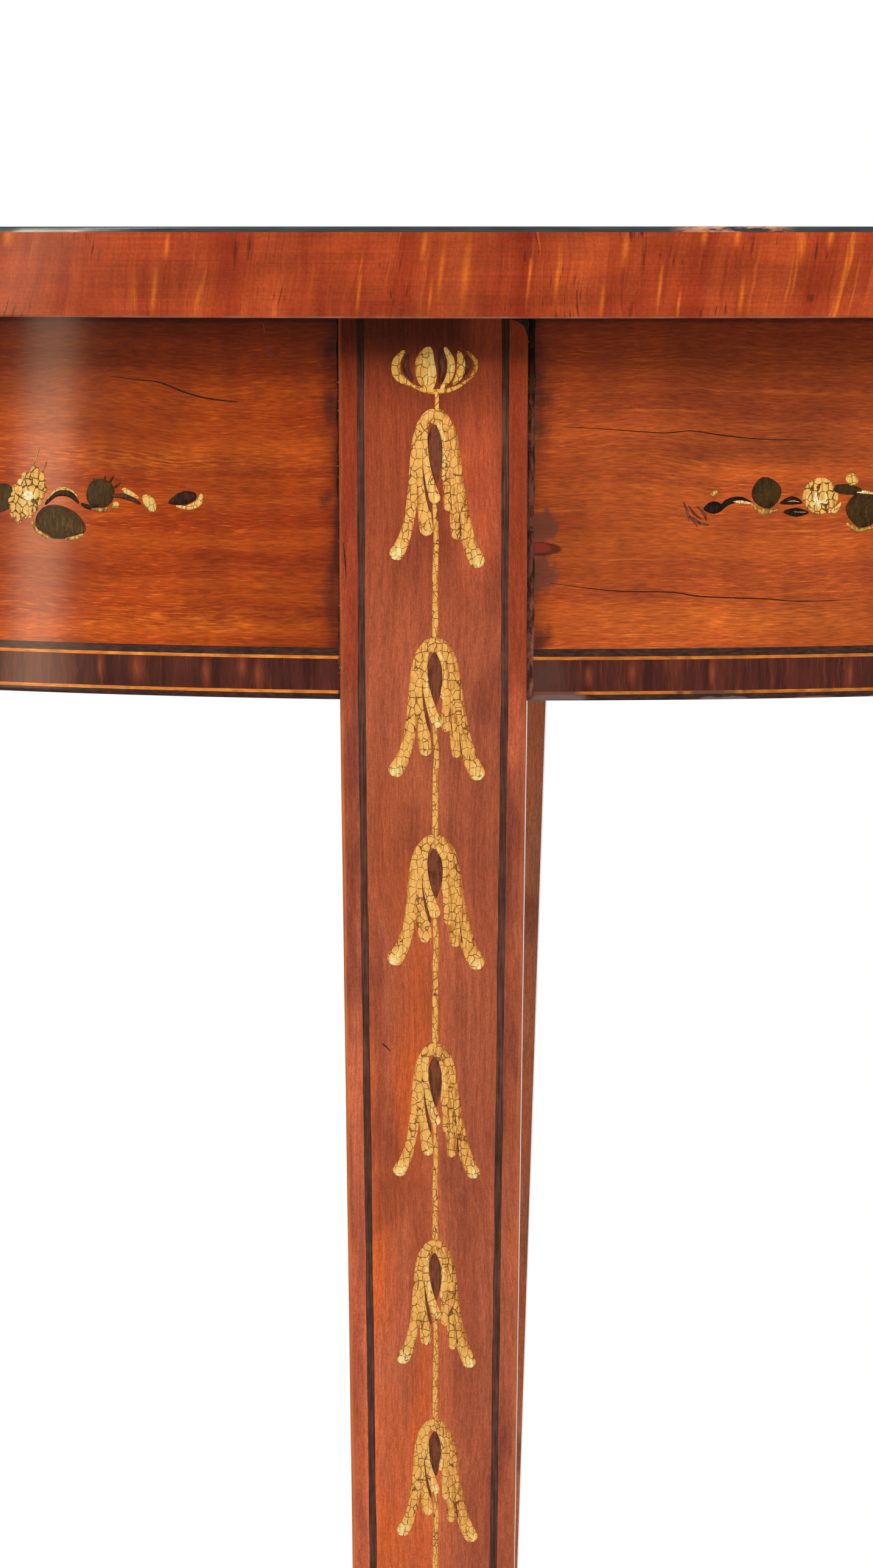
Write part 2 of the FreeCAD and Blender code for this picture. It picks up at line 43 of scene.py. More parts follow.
CENTRE_Y = 225.0
TABLE_HEIGHT = 760.0
TOP_RADIUS = 450.0
TOP_LOW = 740.8
FACE_LOW = 758.8
EDGE_VENEER = 1.0
BAND_OUTER = 448.4
BAND_INNER = 416.4
FRIEZE_LOW = 657.1
FRIEZE_FACE = 435.0
FRIEZE_BACK = 434.0
LEG_WIDTH = 41.0
LEG_HALF = LEG_WIDTH / 2
LEG_FACE = 438.0
REAR_LEG_Y = 196.5
REAR_FRONT_Y = 176.0
FRONT_FOOT = 28.6
REAR_FOOT = 23.2
STRING_INSET = 4.0
STRING_WIDTH = 1.65
STRING_DEPTH = 1.0
PANEL_START = math.asin(LEG_HALF / FRIEZE_FACE)
PANEL_END = math.acos((CENTRE_Y - REAR_FRONT_Y) / FRIEZE_FACE)
SIDES = (("left", -1), ("right", 1))

# Traces of hand work that the CAD model leaves out: how much narrower a leg is at each side of its back,
# rounded arrises, how far those of a leg and its strings wander, and dents in the top's arris

SIDE_DRAFT = 0.55
EDGE_EASE = 0.5
ARRIS_EASE = 0.55
LEG_EASE = 0.55
LEG_EASE_WANDER = 0.2
STRING_WANDER = 0.1
DENT_START = 0.35
DENT_DEPTH = 0.35

# Counts of steps round the top, round a panel, and up a leg below the frieze and beside it

ARC_STEPS = 240
PANEL_STEPS = 150
SHAFT_STEPS = 120
BLOCK_STEPS = 16


# Looks


def colour(red, green, blue):
    """A colour given in screen values from 0 to 255, turned into the linear values that shaders take."""
    shares = [value / 255 for value in (red, green, blue)]
    return (*[s / 12.92 if s <= 0.04045 else ((s + 0.055) / 1.055) ** 2.4 for s in shares], 1.0)


class Value:
    """What a node gives. Values take the usual signs of sums and are carried further by these calls."""

    def __init__(self, nodes, socket):
        self.nodes = nodes
        self.socket = socket

    def math(self, operation, other=0.0):
        return self.nodes.add("ShaderNodeMath", {0: self, 1: other}, operation=operation)

    def __add__(self, other):
        return self.math("ADD", other)

    def __sub__(self, other):
        return self.math("SUBTRACT", other)

    def __rsub__(self, other):
        return self.nodes.add("ShaderNodeMath", {0: other, 1: self}, operation="SUBTRACT")

    def __mul__(self, other):
        return self.math("MULTIPLY", other)

    def __truediv__(self, other):
        return self.math("DIVIDE", other)

    def __abs__(self):
        return self.math("ABSOLUTE")

    def root(self):
        return self.math("SQRT")

    def most(self, other):
        return self.math("MAXIMUM", other)

    def span(self, low, high, out_low=0.0, out_high=1.0):
        """Carries a value from one span into another, easing in and out and stopping at both ends."""
        inputs = {"Value": self, "From Min": low, "From Max": high, "To Min": out_low, "To Max": out_high}
        return self.nodes.add("ShaderNodeMapRange", inputs, interpolation_type="SMOOTHSTEP")

    def vary(self, low, high):
        """Carries cloudy values into a span."""
        return self.span(0.3, 0.7, low, high)

    def parts(self):
        made = self.nodes.tree.nodes.new("ShaderNodeSeparateXYZ")
        self.nodes.feed(made, 0, self)
        return [Value(self.nodes, output) for output in made.outputs]

    def scaled(self, scale):
        return self.nodes.add("ShaderNodeVectorMath", {0: self, 1: scale}, operation="MULTIPLY")

    def shifted(self, x, y, z):
        amount = self.nodes.vector(x, y, z)
        return self.nodes.add("ShaderNodeVectorMath", {0: self, 1: amount}, operation="ADD")

    def noise(self, scale, detail=2, roughness=0.5):
        """Cloudy values round 0.5. Scales are per millimetre: one, a level and an upright one, or three."""
        sizes = (scale, scale) if isinstance(scale, float) else scale
        placed = self.scaled((sizes[0], sizes[-2], sizes[-1]))
        inputs = {"Vector": placed, "Scale": 1.0, "Detail": detail, "Roughness": roughness}
        return self.nodes.add("ShaderNodeTexNoise", inputs)

    def fibre(self, scale):
        """Cloudy values with finer detail."""
        return self.noise(scale, 3, 0.6)

    def cracks(self, scale, randomness):
        """The distance to the nearest crack of a crazed surface, in cells."""
        inputs = {"Vector": self.scaled(scale), "Scale": 1.0, "Randomness": randomness}
        return self.nodes.add("ShaderNodeTexVoronoi", inputs, "Distance", feature="DISTANCE_TO_EDGE")


class Nodes:
    """A tree of nodes, for a look or for the world."""

    def __init__(self, owner):
        owner.use_nodes = True
        self.tree = owner.node_tree
        self.tree.nodes.clear()

    def feed(self, made, name, value):
        if isinstance(value, Value):
            self.tree.links.new(value.socket, made.inputs[name])
        else:
            made.inputs[name].default_value = value

    def add(self, kind, inputs=None, output=0, **settings):
        """Adds a node with its settings and inputs, and gives one of its outputs."""
        made = self.tree.nodes.new(kind)
        for name, value in settings.items():
            setattr(made, name, value)
        for name, value in (inputs or {}).items():
            self.feed(made, name, value)
        return Value(self, made.outputs[output])

    def vector(self, x, y, z):
        return self.add("ShaderNodeCombineXYZ", {0: x, 1: y, 2: z})

    def seen(self):
        """One for what the camera and reflections see, and nothing for what lights the table."""
        path = self.tree.nodes.new("ShaderNodeLightPath")
        kinds = ("Is Camera Ray", "Is Glossy Ray", "Is Transmission Ray")
        camera, glossy, through = [Value(self, path.outputs[kind]) for kind in kinds]
        return camera.most(glossy).most(through)


class Look(Nodes):
    """A material round one main shader. Its tint is laid on step by step and becomes the base colour."""

    def __init__(self, name, roughness=0.5, specular=0.02, polish=0.0, polish_roughness=0.1, metal=0.0):
        self.material = bpy.data.materials.new(name)
        super().__init__(self.material)
        self.shader = self.tree.nodes.new("ShaderNodeBsdfPrincipled")
        self.surface = Value(self, self.shader.outputs["BSDF"])
        self.output = self.tree.nodes.new("ShaderNodeOutputMaterial")
        self.feed(self.output, "Surface", self.surface)
        self.set("Roughness", roughness)
        self.set("Specular IOR Level", specular)
        self.set("Coat Weight", polish)
        self.set("Coat IOR", 1.2)
        self.set("Coat Roughness", polish_roughness)
        self.set("Metallic", metal)

    def set(self, name, value):
        self.feed(self.shader, name, value)

    def attribute(self, name):
        return self.add("ShaderNodeAttribute", output="Fac", attribute_name=name)

    def place(self):
        """Where a point of the table lies, in millimetres."""
        return self.add("ShaderNodeTexCoord", output="Object").scaled((1000, 1000, 1000))

    def round_place(self):
        """Where a point lies round the curve: along the arc, out from the centre, and up, in millimetres."""
        x, y, z = self.place().parts()
        depth = CENTRE_Y - y
        return self.vector(x.math("ARCTAN2", depth) * FRIEZE_FACE, (x * x + depth * depth).root(), z)

    def mixed(self, share, first, second):
        return self.add("ShaderNodeMix", {0: share, 6: first, 7: second}, 2, data_type="RGBA")

    def start(self, share, dark, light):
        """Begins the tint with a mix of two colours."""
        self.tint = self.mixed(share, colour(*dark), colour(*light))

    def over(self, share, red, green, blue):
        """Lays a share of a colour over the tint."""
        self.tint = self.mixed(share, self.tint, colour(red, green, blue))

    def shade(self, *factors):
        """Makes the tint darker or brighter by all the factors together."""
        total = factors[0]
        for factor in factors[1:]:
            total = total * factor
        self.tint = self.add("ShaderNodeVectorMath", {0: self.tint, "Scale": total}, operation="SCALE")

    def done(self, roughness, relief, strength, depth):
        """Sets the base colour, the roughness and the fine relief, whose depth is in millimetres."""
        inputs = {"Strength": strength, "Distance": depth / 1000, "Height": relief}
        self.set("Normal", self.add("ShaderNodeBump", inputs))
        self.set("Base Color", self.tint)
        self.set("Roughness", roughness)
        return self.material


def spots(across, up, places, ragged, core):
    """A mask of ragged spots that are full inside their core.
    Each place is a middle across and up, a half width and a half height."""
    total = None
    for middle_across, middle_up, half_width, half_height in places:
        wide = (across - middle_across) / half_width
        tall = (up - middle_up) / half_height
        mask = ((wide * wide + tall * tall).root() + ragged).span(1.0, core)
        total = mask if total is None else total.most(mask)
    return total


# Marks in the wood by the front leg, each a middle along the arc and up, a half width and a half height.
# First the old stains in the polish beside the leg, then a red patch there and its dark rim.
SOFT_STAINS = (
    (-23, 733.4, 3.6, 4.4), (-23.4, 721.6, 3.8, 8.5), (-21.3, 700, 1.8, 46), (-23.2, 701.4, 2.8, 3.2),
    (-22.3, 680, 2.6, 14), (23.2, 722, 4.2, 20), (23.4, 670.6, 4.4, 5),
)
CLEAR_STAINS = ((24.2, 695.2, 4.8, 4.6), (24, 685.4, 3.8, 6))
RED_PATCH = ((23, 690.8, 3.3, 1.25),)
RED_RIM = ((23.8, 690.6, 4.4, 1.75),)
# Lengths of the right panel's lower light string that old wax hides, and wax on the dark band there
HIDDEN_STRING = ((25.5, 658.8, 8, 3), (61.5, 658.8, 9.5, 3))
WAX = ((25, 662.5, 8, 6),)
# Pale wax and wear on that panel's bottom string
PALE_WAX = (
    (26.5, 657.6, 8.5, 1.5), (64, 657.2, 6, 0.8), (84, 657.1, 7, 0.6), (103, 657.1, 10, 0.7),
)
# Bright patches in the dark band of the two panels
BAND_GLOWS = (
    (-38.9, 662.4, 1.9, 5), (-42.6, 664.2, 1.5, 3.6), (-50.8, 662.6, 1.7, 5), (-66.6, 663, 2.8, 5),
    (-75.2, 663.4, 1, 5), (34.1, 662.4, 1.3, 3.6), (43.6, 663.3, 1.6, 5), (61.4, 663, 1.1, 5),
    (92.6, 662.6, 1, 5),
)
# Long golden bands and a dull one in the two panels
GOLD_BANDS = ((-62, 709.5, 62, 5), (-55, 674, 50, 5), (70, 675, 60, 6))
DULL_BANDS = ((68, 711.5, 60, 6),)
# Bright flames and dark flecks in the top's edge, which lean to the right from the middle of its height
FLAMES = (
    (7.2, 750, 1.2, 11), (2.2, 751, 0.8, 8.5), (20.3, 750, 0.6, 9.5), (26, 749.5, 0.8, 9.5),
    (39.2, 755.5, 1.1, 5), (35.7, 744.5, 0.8, 5.5), (47.2, 747.5, 0.6, 8.5), (51.5, 743.5, 0.6, 4.5),
    (55.1, 758, 1.1, 3.5), (61.9, 758, 1.1, 3.5), (64.3, 745.5, 0.8, 6.5), (75.6, 756, 1.1, 5),
    (81.3, 757.8, 1.1, 3.5), (-55.1, 756, 0.8, 4.5), (-56.9, 746.5, 1, 7.5), (-89.6, 758, 1.8, 3.5),
    (-1.9, 756, 1, 5), (0.5, 745, 0.6, 6), (-14.2, 746, 0.7, 6.5),
)
FLECKS = (
    (43.1, 753, 0.8, 6.5), (41.9, 742.5, 0.7, 3.5), (78.8, 744.9, 1.2, 1.4), (78.7, 754.8, 0.6, 3.5),
    (65.2, 755.5, 0.6, 4.5), (-40.7, 755, 1, 4.5), (-37.7, 756, 1.1, 5),
)
FLAME_LEAN = 0.11
FLAME_MIDDLE = 750
# Brighter patches on a leg's face: shares across it, and heights
LEG_GLOWS = ((0.5, 701, 0.45, 26), (0.87, 652, 0.15, 16))


def satinwood(name, on_frieze, dark, light):
    """Polished satinwood with fine flecks and wavy streaks along the grain, which runs across on the top.
    On the frieze it follows the curve, and the wood is stained by the front leg. There it also has painted
    shade under the top and in the corners beside the front leg, and painted light towards the left end."""
    look = Look(name, polish=1, polish_roughness=0.11)
    if on_frieze:
        along, out, up = look.round_place().parts()
    else:
        along, up, height = look.place().parts()
    here = look.vector(along, 0, up)
    swell = here.noise((0.012, 0.022), 1) * 10
    ripple = here.noise((0.05, 0.08)) * 2
    grain = look.vector(along, 0, up + (swell + ripple))
    band = grain.fibre((0.007, 0.17))
    streak = grain.fibre((0.032, 0.75))
    fleck = grain.noise((0.3, 2.8), 3, 0.65)
    spark = grain.fibre((0.2, 2.6))
    mottle = here.noise((0.12, 0.03))
    cloud = here.noise((0.02, 0.05))
    look.start(band.span(0.34, 0.66), dark, light)
    lively = along.span(-30, 40, 0.3, 0.55) if on_frieze else 0.4
    look.over(streak.span(0.55, 0.72) * lively, 222, 110, 30)
    look.over(streak.span(0.42, 0.28, 0, 0.5), 112, 32, 4)
    look.over(spark.span(0.55, 0.68) * cloud.span(0.35, 0.6, 0.15, 0.65), 214, 104, 26)
    shades = [fleck.vary(0.72, 1.28), mottle.vary(0.9, 1.1), cloud.vary(0.8, 1.2)]
    if on_frieze:
        ragged = (here.noise((0.3, 0.22), 3) - 0.5) * 1.8
        wavy = ragged * 0.3
        look.over(spots(along, up, GOLD_BANDS, wavy, -0.2) * spark.span(0.4, 0.62, 0.15, 0.8), 218, 108, 28)
        shades += [
            1 - spots(along, up, DULL_BANDS, wavy, -0.2) * 0.3,
            # Painted shade: a dark line just under the top, then darker under the top's overhang
            up.span(TOP_LOW - 0.7, TOP_LOW - 1.8, 0.45, 1),
            up.span(TOP_LOW, TOP_LOW - 7, 0.6, 1).most(along.span(-5, 5, 0, 0.95)),
            up.span(TOP_LOW, TOP_LOW - 28, 0.7, 1).most(along.span(-5, 5, 0, 0.84)),
            # Painted shade in the corners beside the front leg
            (abs(along) - LEG_HALF).span(0.5, 5.5, 0.6, 1),
            along.span(-60, 60, 0.98, 1.04),
            # Painted light: brighter towards the left end
            along.span(-70, -100, 1, 1.12),
        ]
        look.over(along.span(0, 40, 0, 0.1), 226, 140, 84)
        # Painted shade: a deeper, redder colour in the shade under the top
        look.over(up.span(TOP_LOW - 28, TOP_LOW, 0, 0.5), 134, 40, 4)
    look.shade(*shades)
    if on_frieze:
        look.over(spots(along, up, SOFT_STAINS, ragged, -0.2) * 0.75, 52, 24, 18)
        look.over(spots(along, up, CLEAR_STAINS, ragged, 0.45) * 0.75, 94, 52, 38)
        look.over(spots(along, up, RED_RIM, wavy, 0.75) * 0.8, 58, 22, 16)
        look.over(spots(along, up, RED_PATCH, wavy, 0.7) * 0.9, 138, 42, 26)
        look.set("Coat Weight", up.span(TOP_LOW, TOP_LOW - 30, 0.5, 1))
    return look.done(fleck.vary(0.42, 0.55), fleck + cloud * 3, 0.1, 0.1)


def edge_satinwood():
    """Satinwood laid across the top's edge: upright flame streaks, dark flecks, and a lower arris
    rubbed pale, with a painted highlight along it.
    """
    look = Look("edge_satinwood", polish=0.9, polish_roughness=0.19)
    arc, out, up = look.round_place().parts()
    here = look.vector(arc, 0, up)
    lean = here.noise((0.014, 0), 1).vary(-0.05, 0.34)
    rise = up - TOP_LOW
    sway = here.noise((0.05, 0.07)) * 3
    grain = look.vector(arc - lean * rise + sway, 0, up)
    broad = grain.fibre((0.08, 0.012))
    flame = grain.noise((0.5, 0.03), 2, 0.55)
    flame_area = here.noise((0.045, 0.03), 1)
    fine = grain.noise((2.2, 0.09), 3, 0.65)
    fleck = grain.noise((1.5, 0.16))
    fleck_area = here.noise((0.06, 0.1), 1)
    cloud = here.noise((0.045, 0.13))
    scratch = here.fibre((0.025, 2.6))
    speck = here.noise(1.4)
    look.start(broad.span(0.34, 0.66), (146, 46, 18), (182, 76, 34))
    look.over(flame.span(0.42, 0.28, 0, 0.4), 120, 34, 12)
    upright = arc - (up - FLAME_MIDDLE) * FLAME_LEAN
    ragged = (fine - 0.5) * 1.2
    hot = flame.span(0.58, 0.74) * flame_area.span(0.4, 0.65, 0.1, 0.75)
    look.over(hot.most(spots(upright, up, FLAMES, ragged, -0.3) * 0.9), 230, 118, 36)
    dark = fleck.span(0.55, 0.66) * fleck_area.span(0.58, 0.68, 0, 0.75)
    look.over(dark.most(spots(upright, up, FLECKS, ragged, -0.1) * 0.75), 78, 26, 14)
    # Brighter towards the right, and painted light towards the left end
    look.shade(
        fine.vary(0.88, 1.12), cloud.vary(0.82, 1.18), scratch.vary(0.89, 1.09), speck.vary(0.9, 1.1),
        arc.span(-10, 90, 1, 1.12), arc.span(-25, -65, 1, 1.12),
    )
    # The pale line along the lower arris: partly wear, partly a painted highlight
    rub = here.noise((0.12, 0), 3)
    look.over(rise.span(0.5, 0.12) * rub.span(0.35, 0.6, 0.2, 0.75), 190, 142, 120)
    return look.done(fine.vary(0.42, 0.54), fine + scratch, 0.1, 0.1)


def leg_satinwood(name, dark, light):
    """Fine upright grain with a soft mottle, stained outside the strings, and rubbed pale on the arrises
    with a painted highlight there. Painted light makes it warmer left of the face's middle and lighter low
    down, and painted shade darkens and reddens it towards the top."""
    look = Look(name, polish=1, polish_roughness=0.12)
    here = look.place()
    x, y, up = here.parts()
    across = look.attribute("across")
    drift = here.noise((0.01, 0.012), 1) * 16
    grain = look.vector(x + drift, y + drift, up)
    broad = grain.fibre((0.17, 0.008))
    line = grain.fibre((1.5, 0.05))
    pore = grain.noise((4.6, 0.4), 2, 0.6)
    cloud = here.noise((0.05, 0.035), 3)
    speck = here.noise((2.6, 2.2), 1)
    patch = here.noise((0.07, 0.014))
    stain = here.fibre((0.12, 0.022))
    look.start(broad.span(0.32, 0.68), dark, light)
    # Painted light: a warm cast on the left half of the face, in patches, strongest low down
    warm_lit_side = across.span(0.35, -0.35) * across.span(-0.85, -0.7)
    look.over(warm_lit_side * patch.span(0.3, 0.6) * up.span(660, 560, 0.12, 0.95), 196, 88, 36)
    look.over(cloud.span(0.45, 0.28, 0, 0.45), 116, 52, 34)
    stile = abs(across).span(0.72, 0.8)
    look.over(stile * stain.span(0.48, 0.34, 0, 0.55), 112, 48, 38)
    look.over(stile * stain.span(0.55, 0.68, 0, 0.3), 204, 100, 52)
    # Painted shade: a redder colour towards the top
    look.over(up.span(640, 730, 0, 0.78), 158, 62, 28)
    look.over(stile * up.span(648, 672, 0, 0.5), 160, 54, 18)
    glows = spots(across, up, LEG_GLOWS, (stain - 0.5) * 0.8, 0.2)
    painted_light_lower_left = up.span(640, 540, 0, 0.42) * across.span(-0.6, -0.8)
    look.shade(
        line.vary(0.86, 1.14),
        pore.span(0.34, 0.68, 1.14, 0.84),
        cloud.vary(0.92, 1.1),
        speck.vary(0.9, 1.1),
        # Painted shade under the top's overhang, lighter on the right
        up.span(TOP_LOW - 3, TOP_LOW - 12, 0.38, 1).most(across.span(0, 0.5, 0, 0.75)),
        up.span(TOP_LOW - 6, TOP_LOW - 26, 0.8, 1).most(across.span(0, 0.5)),
        # Painted shade on the upper leg, and painted light low down
        up.span(660, 715, 1, 0.88),
        up.span(690, 480, 1, 1.2),
        # Painted shade on the right side low down; then painted light on the left stile low down, and
        # brighter patches
        up.span(530, 580, 0.86, 1).most(across.span(0.5, 0, 0.86, 1)),
        painted_light_lower_left.most(glows * 0.75) + 1,
    )
    # Painted highlight along the left arris, low down
    look.over(across.span(-0.9, -1) * up.span(570, 440, 0, 0.6), 212, 114, 56)
    look.over(look.attribute("rub") * 0.75, 226, 122, 56)
    look.set("Coat Weight", up.span(TOP_LOW - 2, TOP_LOW - 26, 0.3, 1))
    return look.done(line.vary(0.42, 0.55), line - pore, 0.12, 0.08)


def crossband_wood(name, stretch, on_curved_band=True):
    """Dark kingwood laid across a band: fine streaks across it, with clusters of brighter ones.
    The stretch is small along the grain. On the curved bands old wax hides the wood beside the front leg."""
    look = Look(name, polish=1, polish_roughness=0.14)
    here = look.round_place() if on_curved_band else look.place()
    grain = here.shifted(here.noise(0.2) * 1.6, 0, 0)
    broad, streak, fine, cluster = [
        grain.noise([scale * part for part in stretch], detail, roughness)
        for scale, detail, roughness in ((0.3, 2, 0.5), (1.3, 3, 0.6), (4, 2, 0.6), (0.07, 2, 0.6))
    ]
    cloud = here.noise(0.06)
    look.start(broad.span(0.34, 0.66), (60, 22, 14), (90, 39, 27))
    look.over(streak.span(0.5, 0.72, 0, 0.5), 118, 50, 30)
    arc, out, up = here.parts()
    glow = streak.span(0.4, 0.58) * cluster.span(0.58, 0.68) * abs(arc).span(85, 115, 0.1, 0.7)
    if on_curved_band:
        placed = spots(arc, up, BAND_GLOWS, streak - 0.5, -0.3)
        glow = glow.most(placed * streak.span(0.3, 0.6, 0.35, 0.85))
    look.over(glow, 172, 80, 42)
    look.shade(fine.vary(0.8, 1.2), cloud.vary(0.84, 1.16))
    if on_curved_band:
        look.over(spots(arc, up, WAX, here.noise(0.3) - 0.5, 0.2) * 0.7, 86, 57, 48)
    return look.done(fine.vary(0.4, 0.55), fine, 0.1, 0.08)


def string_wood(name, dark, light, stretch, hidden=(), wax=None, right_side=1):
    """A thin inlaid line with fine grain along it, with painted shade under the top, and hidden in places
    by old wax.
    """
    look = Look(name, polish=1, polish_roughness=0.16)
    here = look.place()
    grain = here.fibre(stretch)
    spot = here.noise(0.3)
    x, y, height = here.parts()
    look.start(grain.vary(0, 1), dark, light)
    # Painted shade under the top
    look.shade(spot.vary(0.82, 1.16), height.span(TOP_LOW - 3, TOP_LOW - 22, 0.4, 1))
    look.set("Coat Weight", height.span(TOP_LOW - 2, TOP_LOW - 40, 0.1, 1))
    if hidden:
        arc, out, up = look.round_place().parts()
        look.shade(arc.span(-20, 20, 1, right_side))
        look.over(spots(arc, up, hidden, (spot - 0.5) * 1.4, 0.5) * 0.92, *wax)
    return look.done(grain.vary(0.42, 0.58), grain, 0.1, 0.06)


def arris_string():
    """The dark line round the top's upper arris, rubbed through to pale wood in one stretch."""
    look = Look("arris_string", specular=0.5)
    look.set("Specular Tint", (0.76, 0.9, 1, 1))
    here = look.round_place()
    arc, out, up = here.parts()
    grain = here.fibre((0.08, 1.5, 1.5))
    wear = here.noise((0.12, 0.4, 0.5), 3, 0.7)
    look.start(grain.vary(0, 1), (26, 28, 28), (54, 57, 56))
    worn = arc.span(48, 55) * arc.span(76, 68) * wear.span(0.42, 0.56)
    chips = wear.span(0.7, 0.76) * abs(arc).span(110, 140, 0, 0.8)
    look.over(worn.most(chips), 206, 140, 100)
    return look.done(grain.vary(0.1, 0.2), wear, 0.15, 0.1)


def plain_wood(name, dark, light, along, round_grain=False):
    """Unpolished wood of the hidden parts, with saw marks and grain along one axis or round the curve."""
    look = Look(name, roughness=0.7, specular=0.15)
    here = look.round_place() if round_grain else look.place()
    sway = here.noise(0.02, 1) * 12
    grain = here.shifted(sway, sway, sway)
    stretch = [0.04 if axis == along else 1 for axis in range(3)]
    ring = grain.noise([0.28 * part for part in stretch], 2, 0.55)
    fibre = grain.fibre([2.2 * part for part in stretch])
    cloud = here.noise(0.02, 3)
    saw = here.noise([0.9 if axis == along else 0.03 for axis in range(3)], 1)
    look.start(ring.span(0.38, 0.62), light, dark)
    look.shade(fibre.vary(0.84, 1.14), cloud.vary(0.72, 1.15), saw.span(0.35, 0.65, 0.95, 1.04))
    return look.done(fibre.vary(0.62, 0.82), fibre + saw, 0.25, 0.15)


def screw_steel():
    """Dull old steel with brown rust in patches."""
    look = Look("screw_steel", specular=0.5, metal=0.85)
    here = look.place()
    rust = here.noise(0.5, 4, 0.7)
    look.start(rust.span(0.4, 0.62), (120, 116, 110), (92, 58, 40))
    look.shade(here.noise((3, 0.4)).vary(0.85, 1.12))
    return look.done(rust.span(0.35, 0.65, 0.36, 0.7), rust, 0.2, 0.1)


def crazed_paint(name, shaded, middle, bright, crack, cell, depth=0.85, thin=0.04, thick=0.09):
    """Old oil paint: three tones that follow the brushwork, crossed by a net of dark cracks."""
    look = Look(name, polish=0.5, polish_roughness=0.25)
    here = look.place()
    tone = look.attribute("tone") + here.noise((1.9, 0.35)).vary(-0.2, 0.2)
    look.start(tone.span(0, 0.55), shaded, middle)
    look.over(tone.span(0.6, 1.1), *bright)
    bend = here.noise(0.5) * 1.4
    moved = here.shifted(bend, bend, bend)
    wide = moved.cracks((1 / cell, 1 / cell, 0.75 / cell), 0.7)
    narrow = moved.cracks((2.1 / cell, 2.1 / cell, 1.5 / cell), 0.9)
    width = here.noise(0.25, 1)
    main = (wide / width.span(0.35, 0.65, thin, thick)).span(1, 0.3)
    hair = narrow.span(0.06, 0.02) * width.span(0.45, 0.6, 0, 0.4)
    net = main.most(hair) * tone.span(0.7, 1.1, 1, 0.5) * depth
    look.over(net, *crack)
    return look.done(net.span(0, 1, 0.42, 0.6), 1 - net, 0.3, 0.08)


def joint_grime_and_shadow():
    """Dark wax packed into a joint, with pale specks of dust on the left side. Right of the front leg it
    also stands for the leg's shadow, and it is painted blackest at its top, in the shade under the top.
    """
    look = Look("joint_grime_and_shadow", roughness=0.6, specular=0.05)
    here = look.place()
    x, y, up = here.parts()
    lump = here.fibre((1.2, 0.3))
    speck = here.noise((2.2, 1.6), 1)
    look.start(lump.span(0.35, 0.65), (46, 26, 20), (104, 64, 52))
    # Painted shade: blackest at the top, under the top
    look.shade(up.span(734, 716, 0.22, 1.1), up.span(688, 674, 1, 1.7), x.span(-5, 5, 0.6, 1))
    look.over(speck.span(0.69, 0.75) * x.span(5, -5, 0.2, 0.9), 190, 175, 170)
    return look.done(lump.vary(0.5, 0.75), lump, 0.4, 0.3)


def stage_floor():
    """A pale floor that keeps the table's shadow and fades into the white behind it."""
    look = Look("stage_floor", roughness=0.9, specular=0)
    here = look.place()
    x, y, up = here.parts()
    ahead = y + 350
    far = (x * x + ahead * ahead).root()
    look.start(here.noise(0.02).vary(0, 1), (236, 236, 235), (242, 242, 241))
    look.set("Base Color", look.tint)
    share = look.seen() * far.span(400, 1190, 0.35, 1)
    white = look.add("ShaderNodeEmission")
    look.feed(look.output, "Surface", look.add("ShaderNodeMixShader", {0: share, 1: look.surface, 2: white}))
    return look.material


PINE = ((150, 104, 62), (186, 146, 98))
OAK = ((112, 64, 34), (150, 96, 58))
LOOKS = {
    "frieze": satinwood("frieze_satinwood", True, (148, 48, 4), (180, 73, 10)),
    "top_face": satinwood("top_satinwood", False, (152, 60, 10), (188, 90, 20)),
    "edge": edge_satinwood(),
    "leg": leg_satinwood("leg_satinwood", (154, 74, 46), (178, 92, 60)),
    "rear_leg": leg_satinwood("rear_leg_satinwood", (186, 112, 80), (208, 132, 96)),
    "crossband": crossband_wood("kingwood_upright", (1, 1, 0.06)),
    "top_band": crossband_wood("kingwood_radial", (1, 0.06, 1)),
    "back_band": crossband_wood("kingwood_straight", (1, 0.06, 1), False),
    "dark_string": string_wood(
        "dark_string_round", (44, 24, 18), (78, 46, 36), (0.5, 2.5), PALE_WAX, (120, 96, 88)
    ),
    "leg_string": string_wood("dark_string_upright", (62, 34, 26), (102, 62, 48), (2.4, 0.1)),
    "light_string": string_wood(
        "light_string", (212, 108, 32), (240, 148, 60), (0.3, 2.5), HIDDEN_STRING, (104, 64, 52), 0.74
    ),
    "arris": arris_string(),
    "pine": plain_wood("pine", *PINE, 0),
    "pine_round": plain_wood("pine_round", *PINE, 0, True),
    "oak_across": plain_wood("oak_across", *OAK, 0),
    "oak_deep": plain_wood("oak_deep", *OAK, 1),
    "steel": screw_steel(),
    "grime_and_shadow": joint_grime_and_shadow(),
    "floor": stage_floor(),
}
